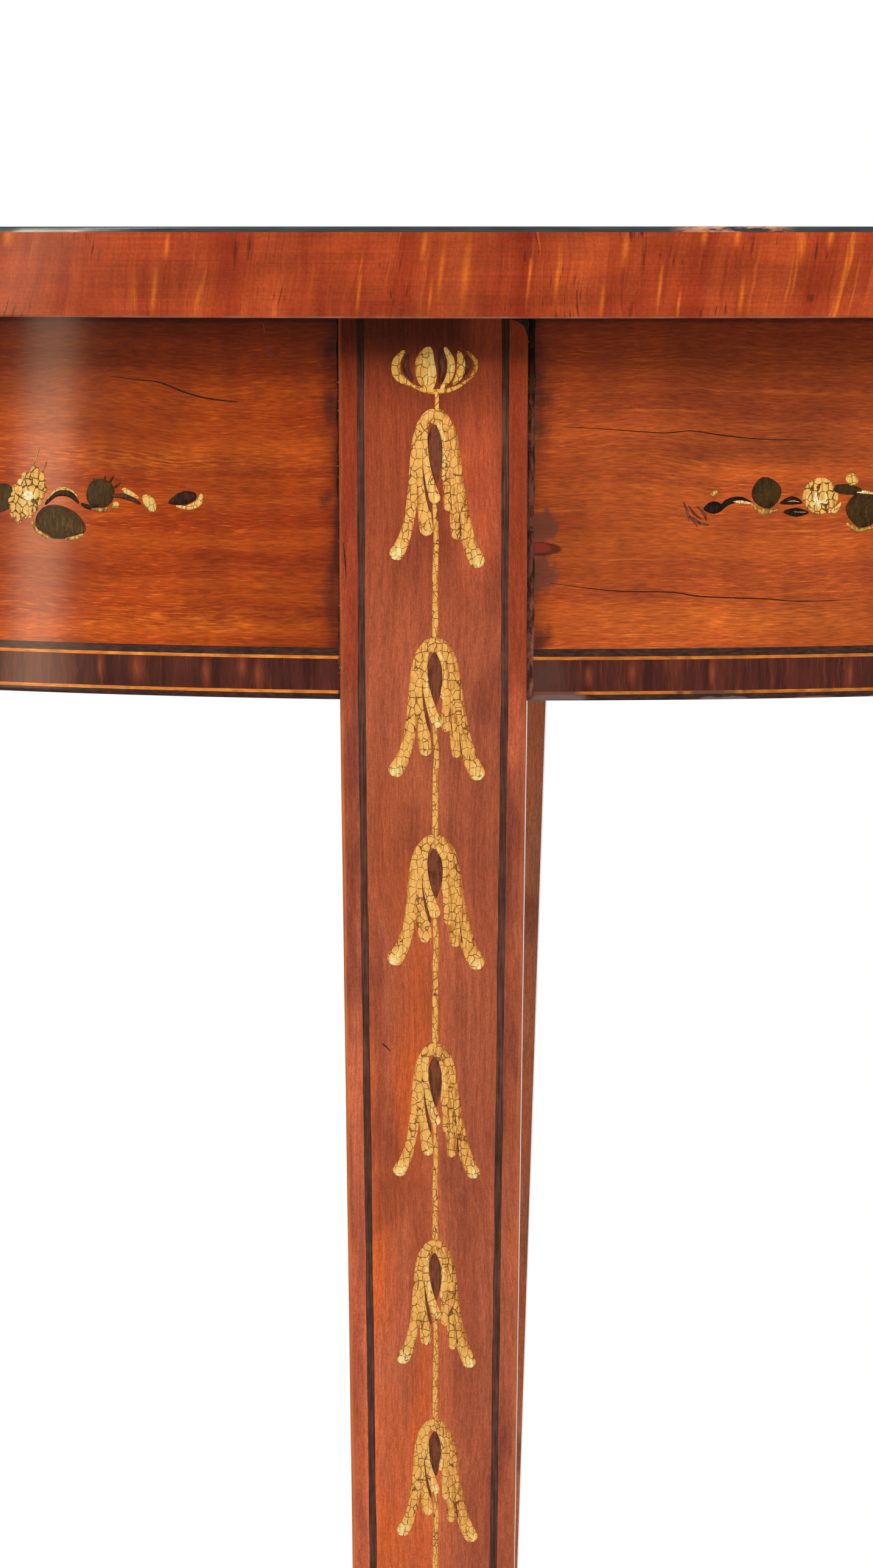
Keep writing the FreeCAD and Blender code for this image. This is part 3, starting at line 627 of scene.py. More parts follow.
# Paints: shaded, middle and bright tones, the cracks' colour, the size of a cell of cracks, and for some the
# cracks' depth and least and most width
PAINTS = {
    "cream": ((186, 110, 46), (246, 182, 94), (255, 232, 156), (104, 54, 24), 1.45, 0.88, 0.04, 0.08),
    "bud": ((176, 104, 40), (255, 192, 90), (255, 230, 150), (112, 60, 24), 1.6),
    "yellow": ((160, 106, 38), (240, 188, 98), (255, 240, 188), (104, 60, 26), 1.3),
    "berry": ((176, 114, 46), (248, 190, 100), (255, 240, 186), (88, 46, 18), 1.5, 0.95, 0.06, 0.11),
    "leaf": ((36, 23, 9), (70, 48, 20), (116, 86, 36), (32, 19, 9), 1.1, 0.5),
    "dark": ((22, 13, 11), (74, 36, 25), (128, 70, 46), (36, 19, 13), 1.4, 0.4),
    "dust": ((126, 92, 80), (160, 128, 114), (196, 170, 156), (110, 78, 66), 1, 0.3),
}
for paint_name, tones_and_cracks in PAINTS.items():
    LOOKS[paint_name] = crazed_paint(f"{paint_name}_paint", *tones_and_cracks)


# Meshes


def in_scene(name, data):
    """Makes an object of a mesh, lamp or camera and puts it in the scene."""
    made = bpy.data.objects.new(name, data)
    bpy.context.scene.collection.objects.link(made)
    return made


def piece(name, points, faces, look, slot, replaced=(), closed=True, sharp=32.0):
    """Makes one piece of the table from points in millimetres, with its look. Its slot in the record is not
    used.
    """
    mesh = bpy.data.meshes.new(name)
    mesh.from_pydata([[value / 1000 for value in point] for point in points], [], faces)
    if closed:
        work = bmesh.new()
        work.from_mesh(mesh)
        bmesh.ops.recalc_face_normals(work, faces=work.faces)
        work.to_mesh(mesh)
        work.free()
    mesh.shade_smooth()
    mesh.set_sharp_from_angle(angle=math.radians(sharp))
    mesh.materials.append(LOOKS[look])
    made = in_scene(name, mesh)
    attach(made, "root")
    if replaced:
        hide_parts(*replaced)
    return made


def give(made, name, values):
    """Stores one value for each point of a piece, for its look to read."""
    stored = made.data.attributes.new(name, "FLOAT", "POINT")
    stored.data.foreach_set("value", values)


def joined(shapes):
    """Several shapes' points and faces put together as one."""
    points, faces = [], []
    for shape_points, shape_faces in shapes:
        start = len(points)
        points.extend(shape_points)
        faces.extend([[index + start for index in face] for face in shape_faces])
    return points, faces


def skin(first, rows, count, columns):
    """Faces from each row of points to the next. As many columns as points close a row into a loop."""
    faces = []
    for low in range(first, first + (rows - 1) * count, count):
        high = low + count
        for column in range(columns):
            following = (column + 1) % count
            faces.append([low + column, low + following, high + following, high + column])
    return faces


def loft(sections):
    """Skins a row of closed loops, each with the same count of points, and caps both ends."""
    count = len(sections[0])
    points = [point for section in sections for point in section]
    caps = [list(range(count))[::-1], list(range(len(points) - count, len(points)))]
    return points, skin(0, len(sections), count, count) + caps


def on_curve(angle, radius, height):
    """A point round the half circle. The angle is from the front, towards the right."""
    return radius * math.sin(angle), CENTRE_Y - radius * math.cos(angle), height


def on_panel(arc, height, out):
    """A point on the frieze, along the arc and up, raised outwards."""
    return on_curve(arc / FRIEZE_FACE, FRIEZE_FACE + out, height)


def swept(profile, start, end, steps):
    """Carries a closed outline of radius and height round the half circle."""
    angles = [start + (end - start) * step / steps for step in range(steps + 1)]
    return loft([[on_curve(angle, radius, height) for radius, height in profile] for angle in angles])


def eased(outer, inner, low, high, ease_low=0.0, ease_high=0.0):
    """A rectangle of radius and height whose outer corners are rounded over."""
    outline = [(inner, low)]
    for ease, middle, turn in ((ease_low, low + ease_low, -90), (ease_high, high - ease_high, 0)):
        if ease:
            for step in range(5):
                angle = math.radians(turn + 90 * step / 4)
                outline.append((outer - ease + ease * math.cos(angle), middle + ease * math.sin(angle)))
        else:
            outline.append((outer, middle))
    outline.append((inner, high))
    return outline


def waver(place, seed):
    """A smooth wandering value between about -1 and 1 along a line in millimetres."""
    waves = ((0.021, 0.5), (0.057, 0.3), (0.14, 0.2), (0.33, 0.12))
    turn = place * 2 * math.pi
    return sum(size * math.sin(turn * rate + seed * (1.7 + 9.1 * rate)) for rate, size in waves)


# Top


def make_top():
    quarter = math.pi / 2
    profile = eased(TOP_RADIUS, TOP_RADIUS - EDGE_VENEER, TOP_LOW, FACE_LOW, ease_low=EDGE_EASE)
    edge = swept(profile, -quarter, quarter, ARC_STEPS)
    piece("top_edge", *edge, "edge", "edge_satinwood", ["top_edge_veneer"])
    sections = []
    for step in range(2 * ARC_STEPS + 1):
        angle = -quarter + math.pi * step / (2 * ARC_STEPS)
        dent = max(0.0, waver(angle * TOP_RADIUS, seed=3) - DENT_START) * DENT_DEPTH
        profile = eased(TOP_RADIUS - dent, BAND_OUTER, FACE_LOW, TABLE_HEIGHT, ease_high=ARRIS_EASE)
        sections.append([on_curve(angle, radius, height) for radius, height in profile])
    piece("top_arris", *loft(sections), "arris", "ebony_string", ["top_edge_string"])
    band = swept(eased(BAND_OUTER, BAND_INNER, FACE_LOW, TABLE_HEIGHT), -quarter, quarter, ARC_STEPS)
    piece("top_curved_band", *band, "top_band", "kingwood", ["top_crossband"])


make_top()


# Frieze: its layers from the bottom up, with heights, looks, slots and rounding of the lower corner

FRIEZE_LAYERS = (
    ("bottom_string", 1.35, "dark_string", "ebony_string", 0.35),
    ("lower_light", 0.7, "light_string", "boxwood_string", 0.0),
    ("crossband", 7.0, "crossband", "kingwood", 0.0),
    ("upper_light", 0.7, "light_string", "boxwood_string", 0.0),
    ("upper_string", 1.75, "dark_string", "ebony_string", 0.0),
    ("veneer", 72.2, "frieze", "satinwood", 0.0),
)


def make_frieze(hand, side):
    low = FRIEZE_LOW
    lights = []
    for layer, height, look, slot, ease in FRIEZE_LAYERS:
        profile = eased(FRIEZE_FACE, FRIEZE_BACK, low, low + height, ease_low=ease)
        shape = swept(profile, side * PANEL_START, side * PANEL_END, PANEL_STEPS)
        if slot == "boxwood_string":
            lights.append(shape)
        else:
            piece(f"{hand}_frieze_smooth_{layer}", *shape, look, slot, [f"{hand}_frieze_{layer}"])
        low += height
    replaced = [f"{hand}_frieze_light_strings"]
    piece(f"{hand}_frieze_lines", *joined(lights), "light_string", "boxwood_string", replaced)


for hand, side in SIDES:
    make_frieze(hand, side)


# Legs


def front_place(across, height, out):
    return across, CENTRE_Y - LEG_FACE - out, height


def left_place(across, height, out):
    return -LEG_FACE - out, REAR_LEG_Y - across, height


def right_place(across, height, out):
    return LEG_FACE + out, REAR_LEG_Y + across, height


def leg_edges(name, height):
    """The left and right edges of a leg's outer face at a height, seen from outside, and the leg's depth."""
    foot = FRONT_FOOT if name == "front" else REAR_FOOT
    taper = (LEG_WIDTH - foot) * (1 - min(1.0, height / FRIEZE_LOW))
    left = taper * {"front": 0.5, "left": 0.0, "right": 1.0}[name]
    return left - LEG_HALF, LEG_HALF - (taper - left), LEG_WIDTH - taper


def string_edges(name, height, side):
    """The two edges of a string line, which wander a little as a hand-cut groove does."""
    left, right, depth = leg_edges(name, height)
    seed = side * 5 + len(name)
    outer = STRING_INSET + STRING_WANDER * waver(height, seed)
    inner = STRING_INSET + STRING_WIDTH + STRING_WANDER * waver(height, seed + 2)
    return (left + outer, left + inner) if side < 0 else (right - inner, right - outer)


def leg_section(name, height):
    """A leg's outline at one height as points across and deep, each with a third value: eased corners, and a
    groove for each string. The third value is how far polish has worn off the front arrises, with a painted
    highlight that makes it most on the left arris. The leg is a little narrower at its back."""
    left, right, depth = leg_edges(name, height)
    ease = LEG_EASE + LEG_EASE_WANDER * waver(height, seed=11)
    outline = []
    back_left, back_right = left + SIDE_DRAFT, right - SIDE_DRAFT
    front_corners = ((left, 0.0, 180, 1.0), (right, 0.0, 270, 0.35))
    back_corners = ((back_right, depth, 0, 0.0), (back_left, depth, 90, 0.0))
    for across, deep, turn, rub in front_corners + back_corners:
        middle_across = across + (ease if across in (left, back_left) else -ease)
        middle_deep = deep + (ease if deep == 0.0 else -ease)
        # Worn polish and a painted highlight, most on the left front arris and faint above the frieze's
        # bottom
        worn = rub * (0.75 + 0.25 * waver(height, seed=23)) * (0.25 if height >= FRIEZE_LOW else 1.0)
        front = deep == 0.0
        if front and across == right:
            outline.append((right - ease - 0.5, 0.0, 0.0))
        for step in range(4):
            angle = math.radians(turn + 30 * step)
            spot = middle_across + ease * math.cos(angle), middle_deep + ease * math.sin(angle)
            outline.append((*spot, worn))
        if front and across == left:
            outline.append((left + ease + 0.4, 0.0, 0.0))
            for side in (-1, 1):
                start, end = string_edges(name, height, side)
                groove = ((start, 0.0), (start, STRING_DEPTH), (end, STRING_DEPTH), (end, 0.0))
                outline += [(*spot, 0.0) for spot in groove]
    return outline


def make_leg(name, place):
    below = [FRIEZE_LOW * step / SHAFT_STEPS for step in range(SHAFT_STEPS)]
    above = [FRIEZE_LOW + (TOP_LOW - FRIEZE_LOW) * step / BLOCK_STEPS for step in range(BLOCK_STEPS + 1)]
    heights = below + above
    sections, rubs_and_highlights, shares = [], [], []
    for height in heights:
        outline = leg_section(name, height)
        left, right, depth = leg_edges(name, height)
        sections.append([place(across, height, -deep) for across, deep, rub in outline])
        rubs_and_highlights += [rub for across, deep, rub in outline]
        for across, deep, rub in outline:
            shares.append(0.0 if deep > depth / 2 else 2 * (across - left) / (right - left) - 1)
    shaft = piece(f"{name}_leg_shaft", *loft(sections), "leg", "leg_satinwood", [f"{name}_leg"])
    give(shaft, "rub", rubs_and_highlights)
    give(shaft, "across", shares)
    strips = []
    for side in (-1, 1):
        rows = []
        for height in heights:
            start, end = string_edges(name, height, side)
            corners = ((start, 0.0), (end, 0.0), (end, STRING_DEPTH), (start, STRING_DEPTH))
            rows.append([place(across, height, -deep) for across, deep in corners])
        strips.append(loft(rows))
    piece(f"{name}_leg_lines", *joined(strips), "leg_string", "ebony_string", [f"{name}_leg_strings"])


LEG_PLACES = {"front": front_place, "left": left_place, "right": right_place}
for leg_name, leg_place in LEG_PLACES.items():
    make_leg(leg_name, leg_place)


# Painted strokes


def smooth(points, share):
    """The point at a share of the way along a smooth curve through the given points."""
    last = len(points) - 1
    index = min(int(share * last), last - 1)
    t = share * last - index
    p0, p1 = points[max(index - 1, 0)], points[index]
    p2, p3 = points[index + 1], points[min(index + 2, last)]
    return tuple(
        0.5 * (2 * b + (c - a) * t + (2 * a - 5 * b + 4 * c - d) * t * t + (3 * b - a - 3 * c + d) * t ** 3)
        for a, b, c, d in zip(p0, p1, p2, p3)
    )


class Painting:
    """Brush strokes laid on a surface. Each is a thin domed strip whose rim dips into what it lies on."""

    # Shares across a strip, heights of the layers and the rim, how far apart samples lie, limits of their
    # count and of widths, how many half widths an end is drawn out by, and where the bright tip starts
    COLUMNS = (-1.0, -1.0, -0.66, -0.33, 0.0, 0.33, 0.66, 1.0, 1.0)
    FIRST_LAYER = 0.02
    LAYER_STEP = 0.0025
    RIM = -0.05
    SPACING = 0.7
    LEAST_SAMPLES = 8
    MOST_SAMPLES = 60
    LEAST_WIDTH = 0.05
    LEAST_HALF = 0.012
    DRAWN_OUT = 3
    TIP_START = 0.84

    def __init__(self, place):
        self.place = place
        self.paints = {}
        self.layer = self.FIRST_LAYER

    def stroke(self, paint, line, widths, tones=(0.6, 0.4), tip=0, blunt=(True, True), rise=0.06, broad=1):
        """Paints along a line of (across, height) points, all in millimetres.
        The two tones are those of the left and right sides, and the tip adds brightness at the end.
        Blunt says of each end whether it is round or drawn out. Rise is the dome's height, and broad scales
        the widths."""
        points, faces, stored = self.paints.setdefault(paint, ([], [], []))
        rough_length = sum(math.dist(before, after) for before, after in zip(line, line[1:]))
        samples = max(self.LEAST_SAMPLES, min(self.MOST_SAMPLES, round(rough_length / self.SPACING)))
        places = [(1 - math.cos(math.pi * step / samples)) / 2 for step in range(samples + 1)]
        path = [smooth(line, share) for share in places]
        width = [smooth([(value * broad, 0.0) for value in widths], share)[0] for share in places]
        lengths = [0.0]
        for before, after in zip(path, path[1:]):
            lengths.append(lengths[-1] + math.dist(before, after))
        start = len(points)
        self.layer += self.LAYER_STEP
        for row, (across, height) in enumerate(path):
            before, after = path[max(row - 1, 0)], path[min(row + 1, samples)]
            along = Vector((after[0] - before[0], after[1] - before[1])).normalized()
            half = max(width[row], self.LEAST_WIDTH) / 2
            for rounded, gone in zip(blunt, (lengths[row], lengths[-1] - lengths[row])):
                reach = half if rounded else half * self.DRAWN_OUT
                if gone < reach:
                    short = 1 - gone / reach
                    half *= math.sqrt(max(0.0, 1 - short * short)) if rounded else 1 - short * short
            half = max(half, self.LEAST_HALF)
            near_tip = max(0.0, lengths[row] / lengths[-1] - self.TIP_START) / (1 - self.TIP_START)
            for column, share in enumerate(self.COLUMNS):
                rim = column in (0, len(self.COLUMNS) - 1)
                out = self.RIM if rim else self.layer + rise * (1 - share * share)
                spot = across + along.y * half * share, height - along.x * half * share
                points.append(self.place(*spot, out))
                lean = share * along.y
                tone = tones[0] * (1 - lean) / 2 + tones[1] * (1 + lean) / 2
                shine = tip * near_tip * (1 - 0.5 * share * share)
                stored.append(tone + 0.06 - 0.26 * share * share + shine)
        faces += skin(start, samples + 1, len(self.COLUMNS), len(self.COLUMNS) - 1)

    def dab(self, paint, across, height, width, tone, length):
        """A short round touch of the brush."""
        line = ((across, height + length / 2), (across, height), (across, height - length / 2))
        self.stroke(paint, line, (width, width, width), (tone + 0.1, tone - 0.1), rise=0.03)

    def finish(self, name, slot):
        for paint, (points, faces, stored) in self.paints.items():
            made = piece(f"{name}_{paint}", points, faces, paint, slot, closed=False, sharp=80.0)
            give(made, "tone", stored)


# Husks: each is a bell of petals hung from its apex, in millimetres across and down, with stroke widths,
# tones of its two sides and brightness of its tip

HUSK_PETALS = (
    (
        (
            (-0.3, 0.9), (1, 1.4), (2, 2.8), (2.9, 5), (3.6, 8.8), (4.7, 16.8), (5.9, 22.8), (7.3, 27.2),
            (9.2, 31.4),
        ),
        (1.5, 2, 2.4, 2.8, 2.9, 2.9, 2.9, 3, 3.2), (0.42, 0.28), 0.66,
    ),
    (((2.1, 5), (2.9, 10), (3.4, 15), (3.7, 20), (4.1, 26.6)), (1.4, 2, 2.2, 2.2, 1.9), (0.36, 0.3), 0.2),
    (((2.1, 8), (2.2, 12), (2.3, 16), (2.5, 20.9)), (0.8, 1.4, 1.7, 1.9), (0.5, 0.4), 0.2),
    (
        (
            (0.3, 0.9), (-1.2, 1.4), (-2.1, 2.6), (-3, 4.6), (-3.8, 8.4), (-4.6, 16.8), (-5.5, 22.6),
            (-6.8, 27), (-8.8, 30.6),
        ),
        (1.5, 2, 2.3, 2.6, 2.6, 2.4, 2.3, 2.7, 3.4), (0.52, 0.5), 0.55,
    ),
    (
        ((-2.9, 8.5), (-3, 13), (-2.8, 17.4), (-2.3, 21.6), (-1.9, 25.8)),
        (1.2, 1.6, 1.9, 2.7, 2.6), (0.46, 0.56), 0.35,
    ),
    (
        ((-1.9, 3.6), (-2.2, 7), (-1.9, 11), (-1, 15), (0.5, 19.4)),
        (1, 1.2, 1.5, 1.9, 2.3), (0.66, 0.7), 0.25,
    ),
    (((0.4, 3), (1.6, 5.6), (1.9, 9), (1.6, 11.8), (1.3, 14)), (0.9, 1, 1, 1, 0.9), (0.6, 0.75), 0),
)
HUSK_CAP = (((0, 0.6), (0, 1.8), (0, 3.4)), (2.2, 4.2, 3.6))
# The dark opening under the arch, and thin gaps between petals
HUSK_OPENING = (((-0.1, 3.4), (-0.1, 8.2), (0.2, 15)), (1, 3.6, 0.7))
HUSK_GAPS = (
    (((-2.7, 9.2), (-2.5, 13.2), (-1.9, 17), (-1, 20.8)), (0.12, 0.5, 0.7, 0.5)),
    (((3, 13), (3.2, 16.5), (3.4, 20.4)), (0.06, 0.2, 0.36)),
    (((4.4, 16), (4.9, 20.5), (5.4, 25.6)), (0.06, 0.2, 0.4)),
)
HUSK_STEM = ((-0.7, 16.6), (-0.1, 20), (0.2, 26), (0, 33))
HUSK_STEM_WIDTHS = (0.5, 1, 1.15, 1.2, 1.3)
# The size at which these strokes are given
HUSK_HEIGHT = 32.0
HUSK_HALF_WIDTH = 10.2

# Where each husk hangs on the leg: its apex height, its height and its width, down to the smallest
HUSK_ROWS = (
    (721.5, 35, 21.4), (671.5, 32.4, 21.8), (627.6, 30.6, 22.6), (580.5, 32, 19.8),
    (534.7, 30.9, 19), (492.3, 29.6, 19.2), (449, 28.4, 17.8), (407, 27, 16.6),
    (366.5, 25.6, 15.4), (328, 24.2, 14.2), (291.5, 22.6, 13), (257.5, 21, 11.8),
)
LAST_DROP = 226.0
LAST_DROP_LINE = ((0.0, -0.4), (0.0, 3.5), (0.0, 7.5))
# How far right of the leg's middle the chain hangs
HUSK_SHIFT = 0.5

# The bud over the husks: strokes across and down from its middle, the last one its stem
BUD_HEIGHT = 729.8
BUD_STROKES = (
    (((-6.2, 2.9), (-3, 4.5), (0.5, 4.9), (4.5, 4.1), (7.8, 1.8)), (0.5, 0.9, 1.1, 0.9, 0.4), (0.5, 0.4)),
    (((-6.6, -3.9), (-8.4, -1.4), (-8, 1.6), (-5.2, 3.6)), (0.8, 1.8, 2, 0.8), (0.7, 0.35)),
    (((6.6, -3.9), (8.7, -1.6), (8.2, 1.2), (6, 3.2)), (0.5, 1, 0.9, 0.4), (0.1, 0.2)),
    (((5, -3.8), (5.6, -1.2), (5.2, 1.4), (3.8, 3.4)), (1, 1.8, 1.7, 0.6), (0.55, 0.65)),
    (((2, -4.6), (3.4, -1.6), (3.1, 1.6), (1.2, 4.4)), (0.8, 1.6, 1.5, 0.7), (0.75, 0.7)),
    (((-1.2, -4.7), (-2.2, -1.5), (-1.8, 2), (-0.8, 4.6)), (1.6, 4.2, 4.3, 1.8), (0.45, 0.95)),
    (((0.1, 4.8), (0.4, 6.6), (0.2, 9)), (0.9, 0.8, 1.1), (0.6, 0.5)),
)
BUD_SHADOWS = (
    (((1.2, -4.4), (1.5, -1), (1.2, 3.4)), (0.9, 1.9, 0.8)),
    (((-5.9, -3), (-6.4, 0), (-4.8, 2.6)), (0.5, 1.5, 0.5)),
    (((6.6, -2.8), (7.1, -0.6), (5.8, 2)), (0.6, 1.4, 0.5)),
)


def make_husks(name, place):
    """The chain of husks down one leg's outer face."""
    draw = random.Random(len(name))
    painting = Painting(place)

    def hung(line, apex, wide=1.0, tall=1.0):
        hanging = []
        for across, down in line:
            height = apex - down * tall
            left, right, depth = leg_edges(name, height)
            hanging.append(((left + right) / 2 + HUSK_SHIFT + across * wide, height))
        return hanging

    for line, widths in BUD_SHADOWS:
        painting.stroke("dark", hung(line, BUD_HEIGHT), widths, (0.7, 0.8), rise=0.01)
    for line, widths, tones in BUD_STROKES:
        painting.stroke("bud", hung(line, BUD_HEIGHT), widths, tones)
    followers = [apex for apex, height, width in HUSK_ROWS[1:]] + [LAST_DROP]
    for (apex, height, width), following in zip(HUSK_ROWS, followers):
        painting.layer = Painting.FIRST_LAYER
        wide, tall = width / 2 / HUSK_HALF_WIDTH, height / HUSK_HEIGHT
        size = (apex, wide, tall)
        stem = hung(HUSK_STEM, *size) + hung([(0.0, 0.4)], following)
        painting.stroke("cream", stem, HUSK_STEM_WIDTHS, (0.5, 0.36), broad=wide ** 0.5)
        line, widths = HUSK_CAP
        painting.stroke("cream", hung(line, *size), widths, (0.4, 0.3), broad=wide)
        line, widths = HUSK_OPENING
        opening = hung(line, *size)
        painting.stroke("dark", opening, widths, (0.9, 1.05), blunt=(True, False), rise=0.01, broad=wide)
        for line, widths, tones, tip in HUSK_PETALS:
            bend, drop = draw.uniform(-0.35, 0.35), draw.uniform(-0.5, 0.5)
            moved = []
            for step, (across, down) in enumerate(line):
                share = (step / (len(line) - 1)) ** 2
                moved.append((across + bend * share, down + drop * share))
            swell = draw.uniform(0.94, 1.06) * wide
            shown = [tone + draw.uniform(-0.06, 0.06) for tone in tones]
            painting.stroke("cream", hung(moved, *size), widths, shown, tip, broad=swell)
        for line, widths in HUSK_GAPS:
            gap = hung(line, *size)
            painting.stroke("dark", gap, widths, (0.9, 1.0), blunt=(False, False), rise=0.045, broad=wide)
    painting.stroke("cream", hung(LAST_DROP_LINE, LAST_DROP), (0.9, 3.2, 2.6), (0.7, 0.4), 0.4)
    painting.finish(f"{name}_leg_husks", "leg_satinwood")


for leg_name, leg_place in LEG_PLACES.items():
    make_husks(leg_name, leg_place)


# Flower trail: strokes along the arc and up, from a middle on the trail's line, for the two sprays.
# Widths and tones that several strokes share come first: a leaf's hair and a drawn-out thread.

HAIR = ((0.7, 0.4, 0.1), (0.5, 0.4))
THREAD = ((0.4, 0.3, 0.12), (0.4, 0.3))
TRAIL_HEIGHT = 701.0
TRAIL_WANDER = 0.6
LEFT_SPRAY = (
    ("leaf", ((-26.5, -3.5), (-23.6, -0.4), (-21.6, 2.4)), (2.5, 6.4, 3), (0.4, 0.6)),
    ("yellow", ((-16.4, -5.6), (-15.2, -7.6), (-12.6, -9.2)), (0.6, 1, 0.7), (0.3, 0.2)),
    ("yellow", ((-8.6, -9.4), (-6.2, -9), (-4.4, -8.2)), (0.6, 1, 0.6), (0.4, 0.3)),
    ("leaf", ((-15.4, -6.8), (-12.4, -5.6), (-8, -6), (-3.8, -7.4)), (3.4, 7.2, 6.8, 2.6), (0.75, 0.5)),
    ("dark", ((-13.2, -1.8), (-10.6, 0.6), (-7.4, 0.6), (-5.2, -1.4)), (0.5, 1.3, 1.3, 0.5), (0.2, 0.3)),
    ("yellow", ((-12.8, -0.7), (-10.2, 1.6), (-7.4, 1.6), (-5.6, 0.2)), (0.2, 0.7, 0.6, 0.2), (0.45, 0.55)),
    ("yellow", ((-2.4, -2.4), (0, -2.8), (2.2, -2.2)), (0.5, 0.9, 0.5), (0.2, 0.2)),
    ("leaf", ((-3.1, -1), (-0.4, 0.8), (2.5, 3)), (4.6, 6.5, 5.4), (0.5, 0.4)),
    ("leaf", ((-1.2, 2.4), (-1.6, 3.4), (-1.8, 4.2)), *HAIR),
    ("leaf", ((0.6, 3.2), (0.9, 4.2), (1, 5)), *HAIR),
    ("leaf", ((2, 3.4), (2.6, 4.3), (3, 5)), *HAIR),
    ("leaf", ((3, 2.2), (4, 2.9), (4.6, 3.5)), *HAIR),
    ("dark", ((-4.8, -1.4), (-2.8, -2.2), (-0.6, -1.6)), (0.5, 1.1, 0.5), (0.2, 0.2)),
    ("yellow", ((2.4, -2), (4, -1.3)), (1.3, 1.7), (0.6, 0.4)),
    ("dark", ((2.4, 0.4), (5.6, 0.3), (9.2, -1.3)), (0.7, 1.2, 0.5), (0.7, 0.6)),
    ("yellow", ((4.8, 1.9), (6.6, 1.1), (8.6, 0)), (1.2, 1.1, 0.6), (0.7, 0.5)),
    ("yellow", ((9.6, 0.6), (11, -0.9), (12.1, -2.9)), (1.4, 2.7, 1.8), (0.72, 0.5)),
    ("yellow", ((22.9, 1.2), (22.2, -0.8), (19.8, -1.9), (17, -1.6)), (0.6, 1.5, 1.1, 0.4), (0.6, 0.6)),
    ("dark", ((15.4, -0.9), (18.6, 0.1), (21.8, 0.8)), (0.6, 3, 1.6), (0.1, 0.35)),
    ("yellow", ((-17, 4.4), (-15.6, 7.2), (-14.2, 10.6)), *THREAD),
    ("yellow", ((-14, 4.8), (-13.2, 6.2), (-12.4, 8.4)), *THREAD),
)
# A cluster of berries: its middle, half width, half height, size of a touch and slant
LEFT_BERRIES = (-17.3, 0.2, 3.6, 5.6, 1.25, -0.37)
# The other spray, with its flower last
RIGHT_SPRAY = (
    ("yellow", ((-12.4, 1.2), (-11, 2.1)), (0.9, 1.1), (0.4, 0.3)),
    ("dark", ((-14, -1.8), (-11.8, -1.5), (-9.6, -1.6)), (0.9, 2.8, 1.3), (0.1, 0.1)),
    ("dark", ((-10.4, -1.9), (-8.6, -0.3), (-5.8, 0.2), (-3.4, -0.6)), (1, 1.4, 1.3, 0.6), (0.1, 0.1)),
    ("yellow", ((-7.4, -0.2), (-5.6, -0.2), (-3.4, -0.6)), (0.6, 1.1, 0.7), (0.9, 0.75)),
    ("yellow", ((-3.4, -0.8), (-0.6, -2.6), (2.8, -2)), (0.6, 1.3, 0.5), (0.3, 0.2)),
    ("leaf", ((-3.3, 0.8), (-0.2, 1.6), (3.2, 2.4)), (5.2, 7.2, 4.8), (0.55, 0.4)),
    ("dark", ((3, -0.7), (5.6, -0.1), (8, -0.6)), (0.5, 1.9, 0.5), (0.1, 0.2)),
    ("yellow", ((4.6, -0.3), (6.2, -0.2), (7.4, -0.5)), (0.2, 0.6, 0.2), (0.9, 0.8)),
    ("dark", ((3.8, -2.6), (6.6, -2.7), (9.4, -2.8)), (0.5, 2, 0.5), (0.1, 0.2)),
    ("yellow", ((6.2, -2.6), (7.8, -2.7), (9, -2.7)), (0.2, 0.5, 0.2), (0.8, 0.7)),
    ("leaf", ((14.8, 2.2), (18, 2.2), (21.4, 1.6)), (1.6, 2.3, 1.4), (0.5, 0.4)),
    ("yellow", ((14.6, -2.6), (16, -1.7), (16.8, -0.6)), (0.5, 0.9, 0.3), (0.7, 0.6)),
    ("yellow", ((18, -5.2), (20.6, -6.8), (24.2, -6.2)), (0.5, 1.1, 0.5), (0.3, 0.2)),
    ("leaf", ((17.8, -2), (21.6, -2.2), (26.8, -2.6)), (4.6, 8.4, 3.4), (0.5, 0.6)),
    ("yellow", ((20.2, 1.5), (22.2, 1.5), (24.2, 1.1)), (0.3, 0.8, 0.3), (0.9, 0.8)),
    ("yellow", ((17.6, 4.2), (18.8, 4.4), (20.4, 3.6)), (1.2, 2.8, 1.6), (0.6, 0.4)),
    ("leaf", ((29, 2), (32.4, 4.2), (36, 4.8)), (2, 5.2, 2), (0.4, 0.55)),
    ("berry", ((12.2, 4.8), (12, 0.8), (12, -3.2)), (6.8, 8.2, 7.4), (0.4, 0.5)),
    ("berry", ((10, 2.4), (9.4, 0.4), (10.2, -1.6)), (0.8, 1.5, 0.9), (0.7, 0.6)),
    ("yellow", ((11, 1.6), (11, 0), (11.8, -1.8)), (0.9, 2.3, 1.2), (1.4, 1.2)),
    ("yellow", ((10.2, -1), (11.8, -0.4), (13.6, -0.8)), (0.6, 1.7, 0.7), (1.4, 1.2)),
    ("yellow", ((13, 1.8), (13.4, 0.4), (12.6, -0.8)), (0.4, 0.8, 0.4), (0.9, 0.8)),
    ("yellow", ((13.8, -2.8), (15.4, -2.6), (16.6, -1.2)), (0.5, 0.9, 0.3), (0.7, 0.6)),
)
# Where the two sprays at the front lie, and how far apart they are painted again round the panels
SPRAY_PLACES = {"left": -74.2, "right": 73.0}
SPRAY_SPAN = 66.0
SPRAY_COUNT = 8


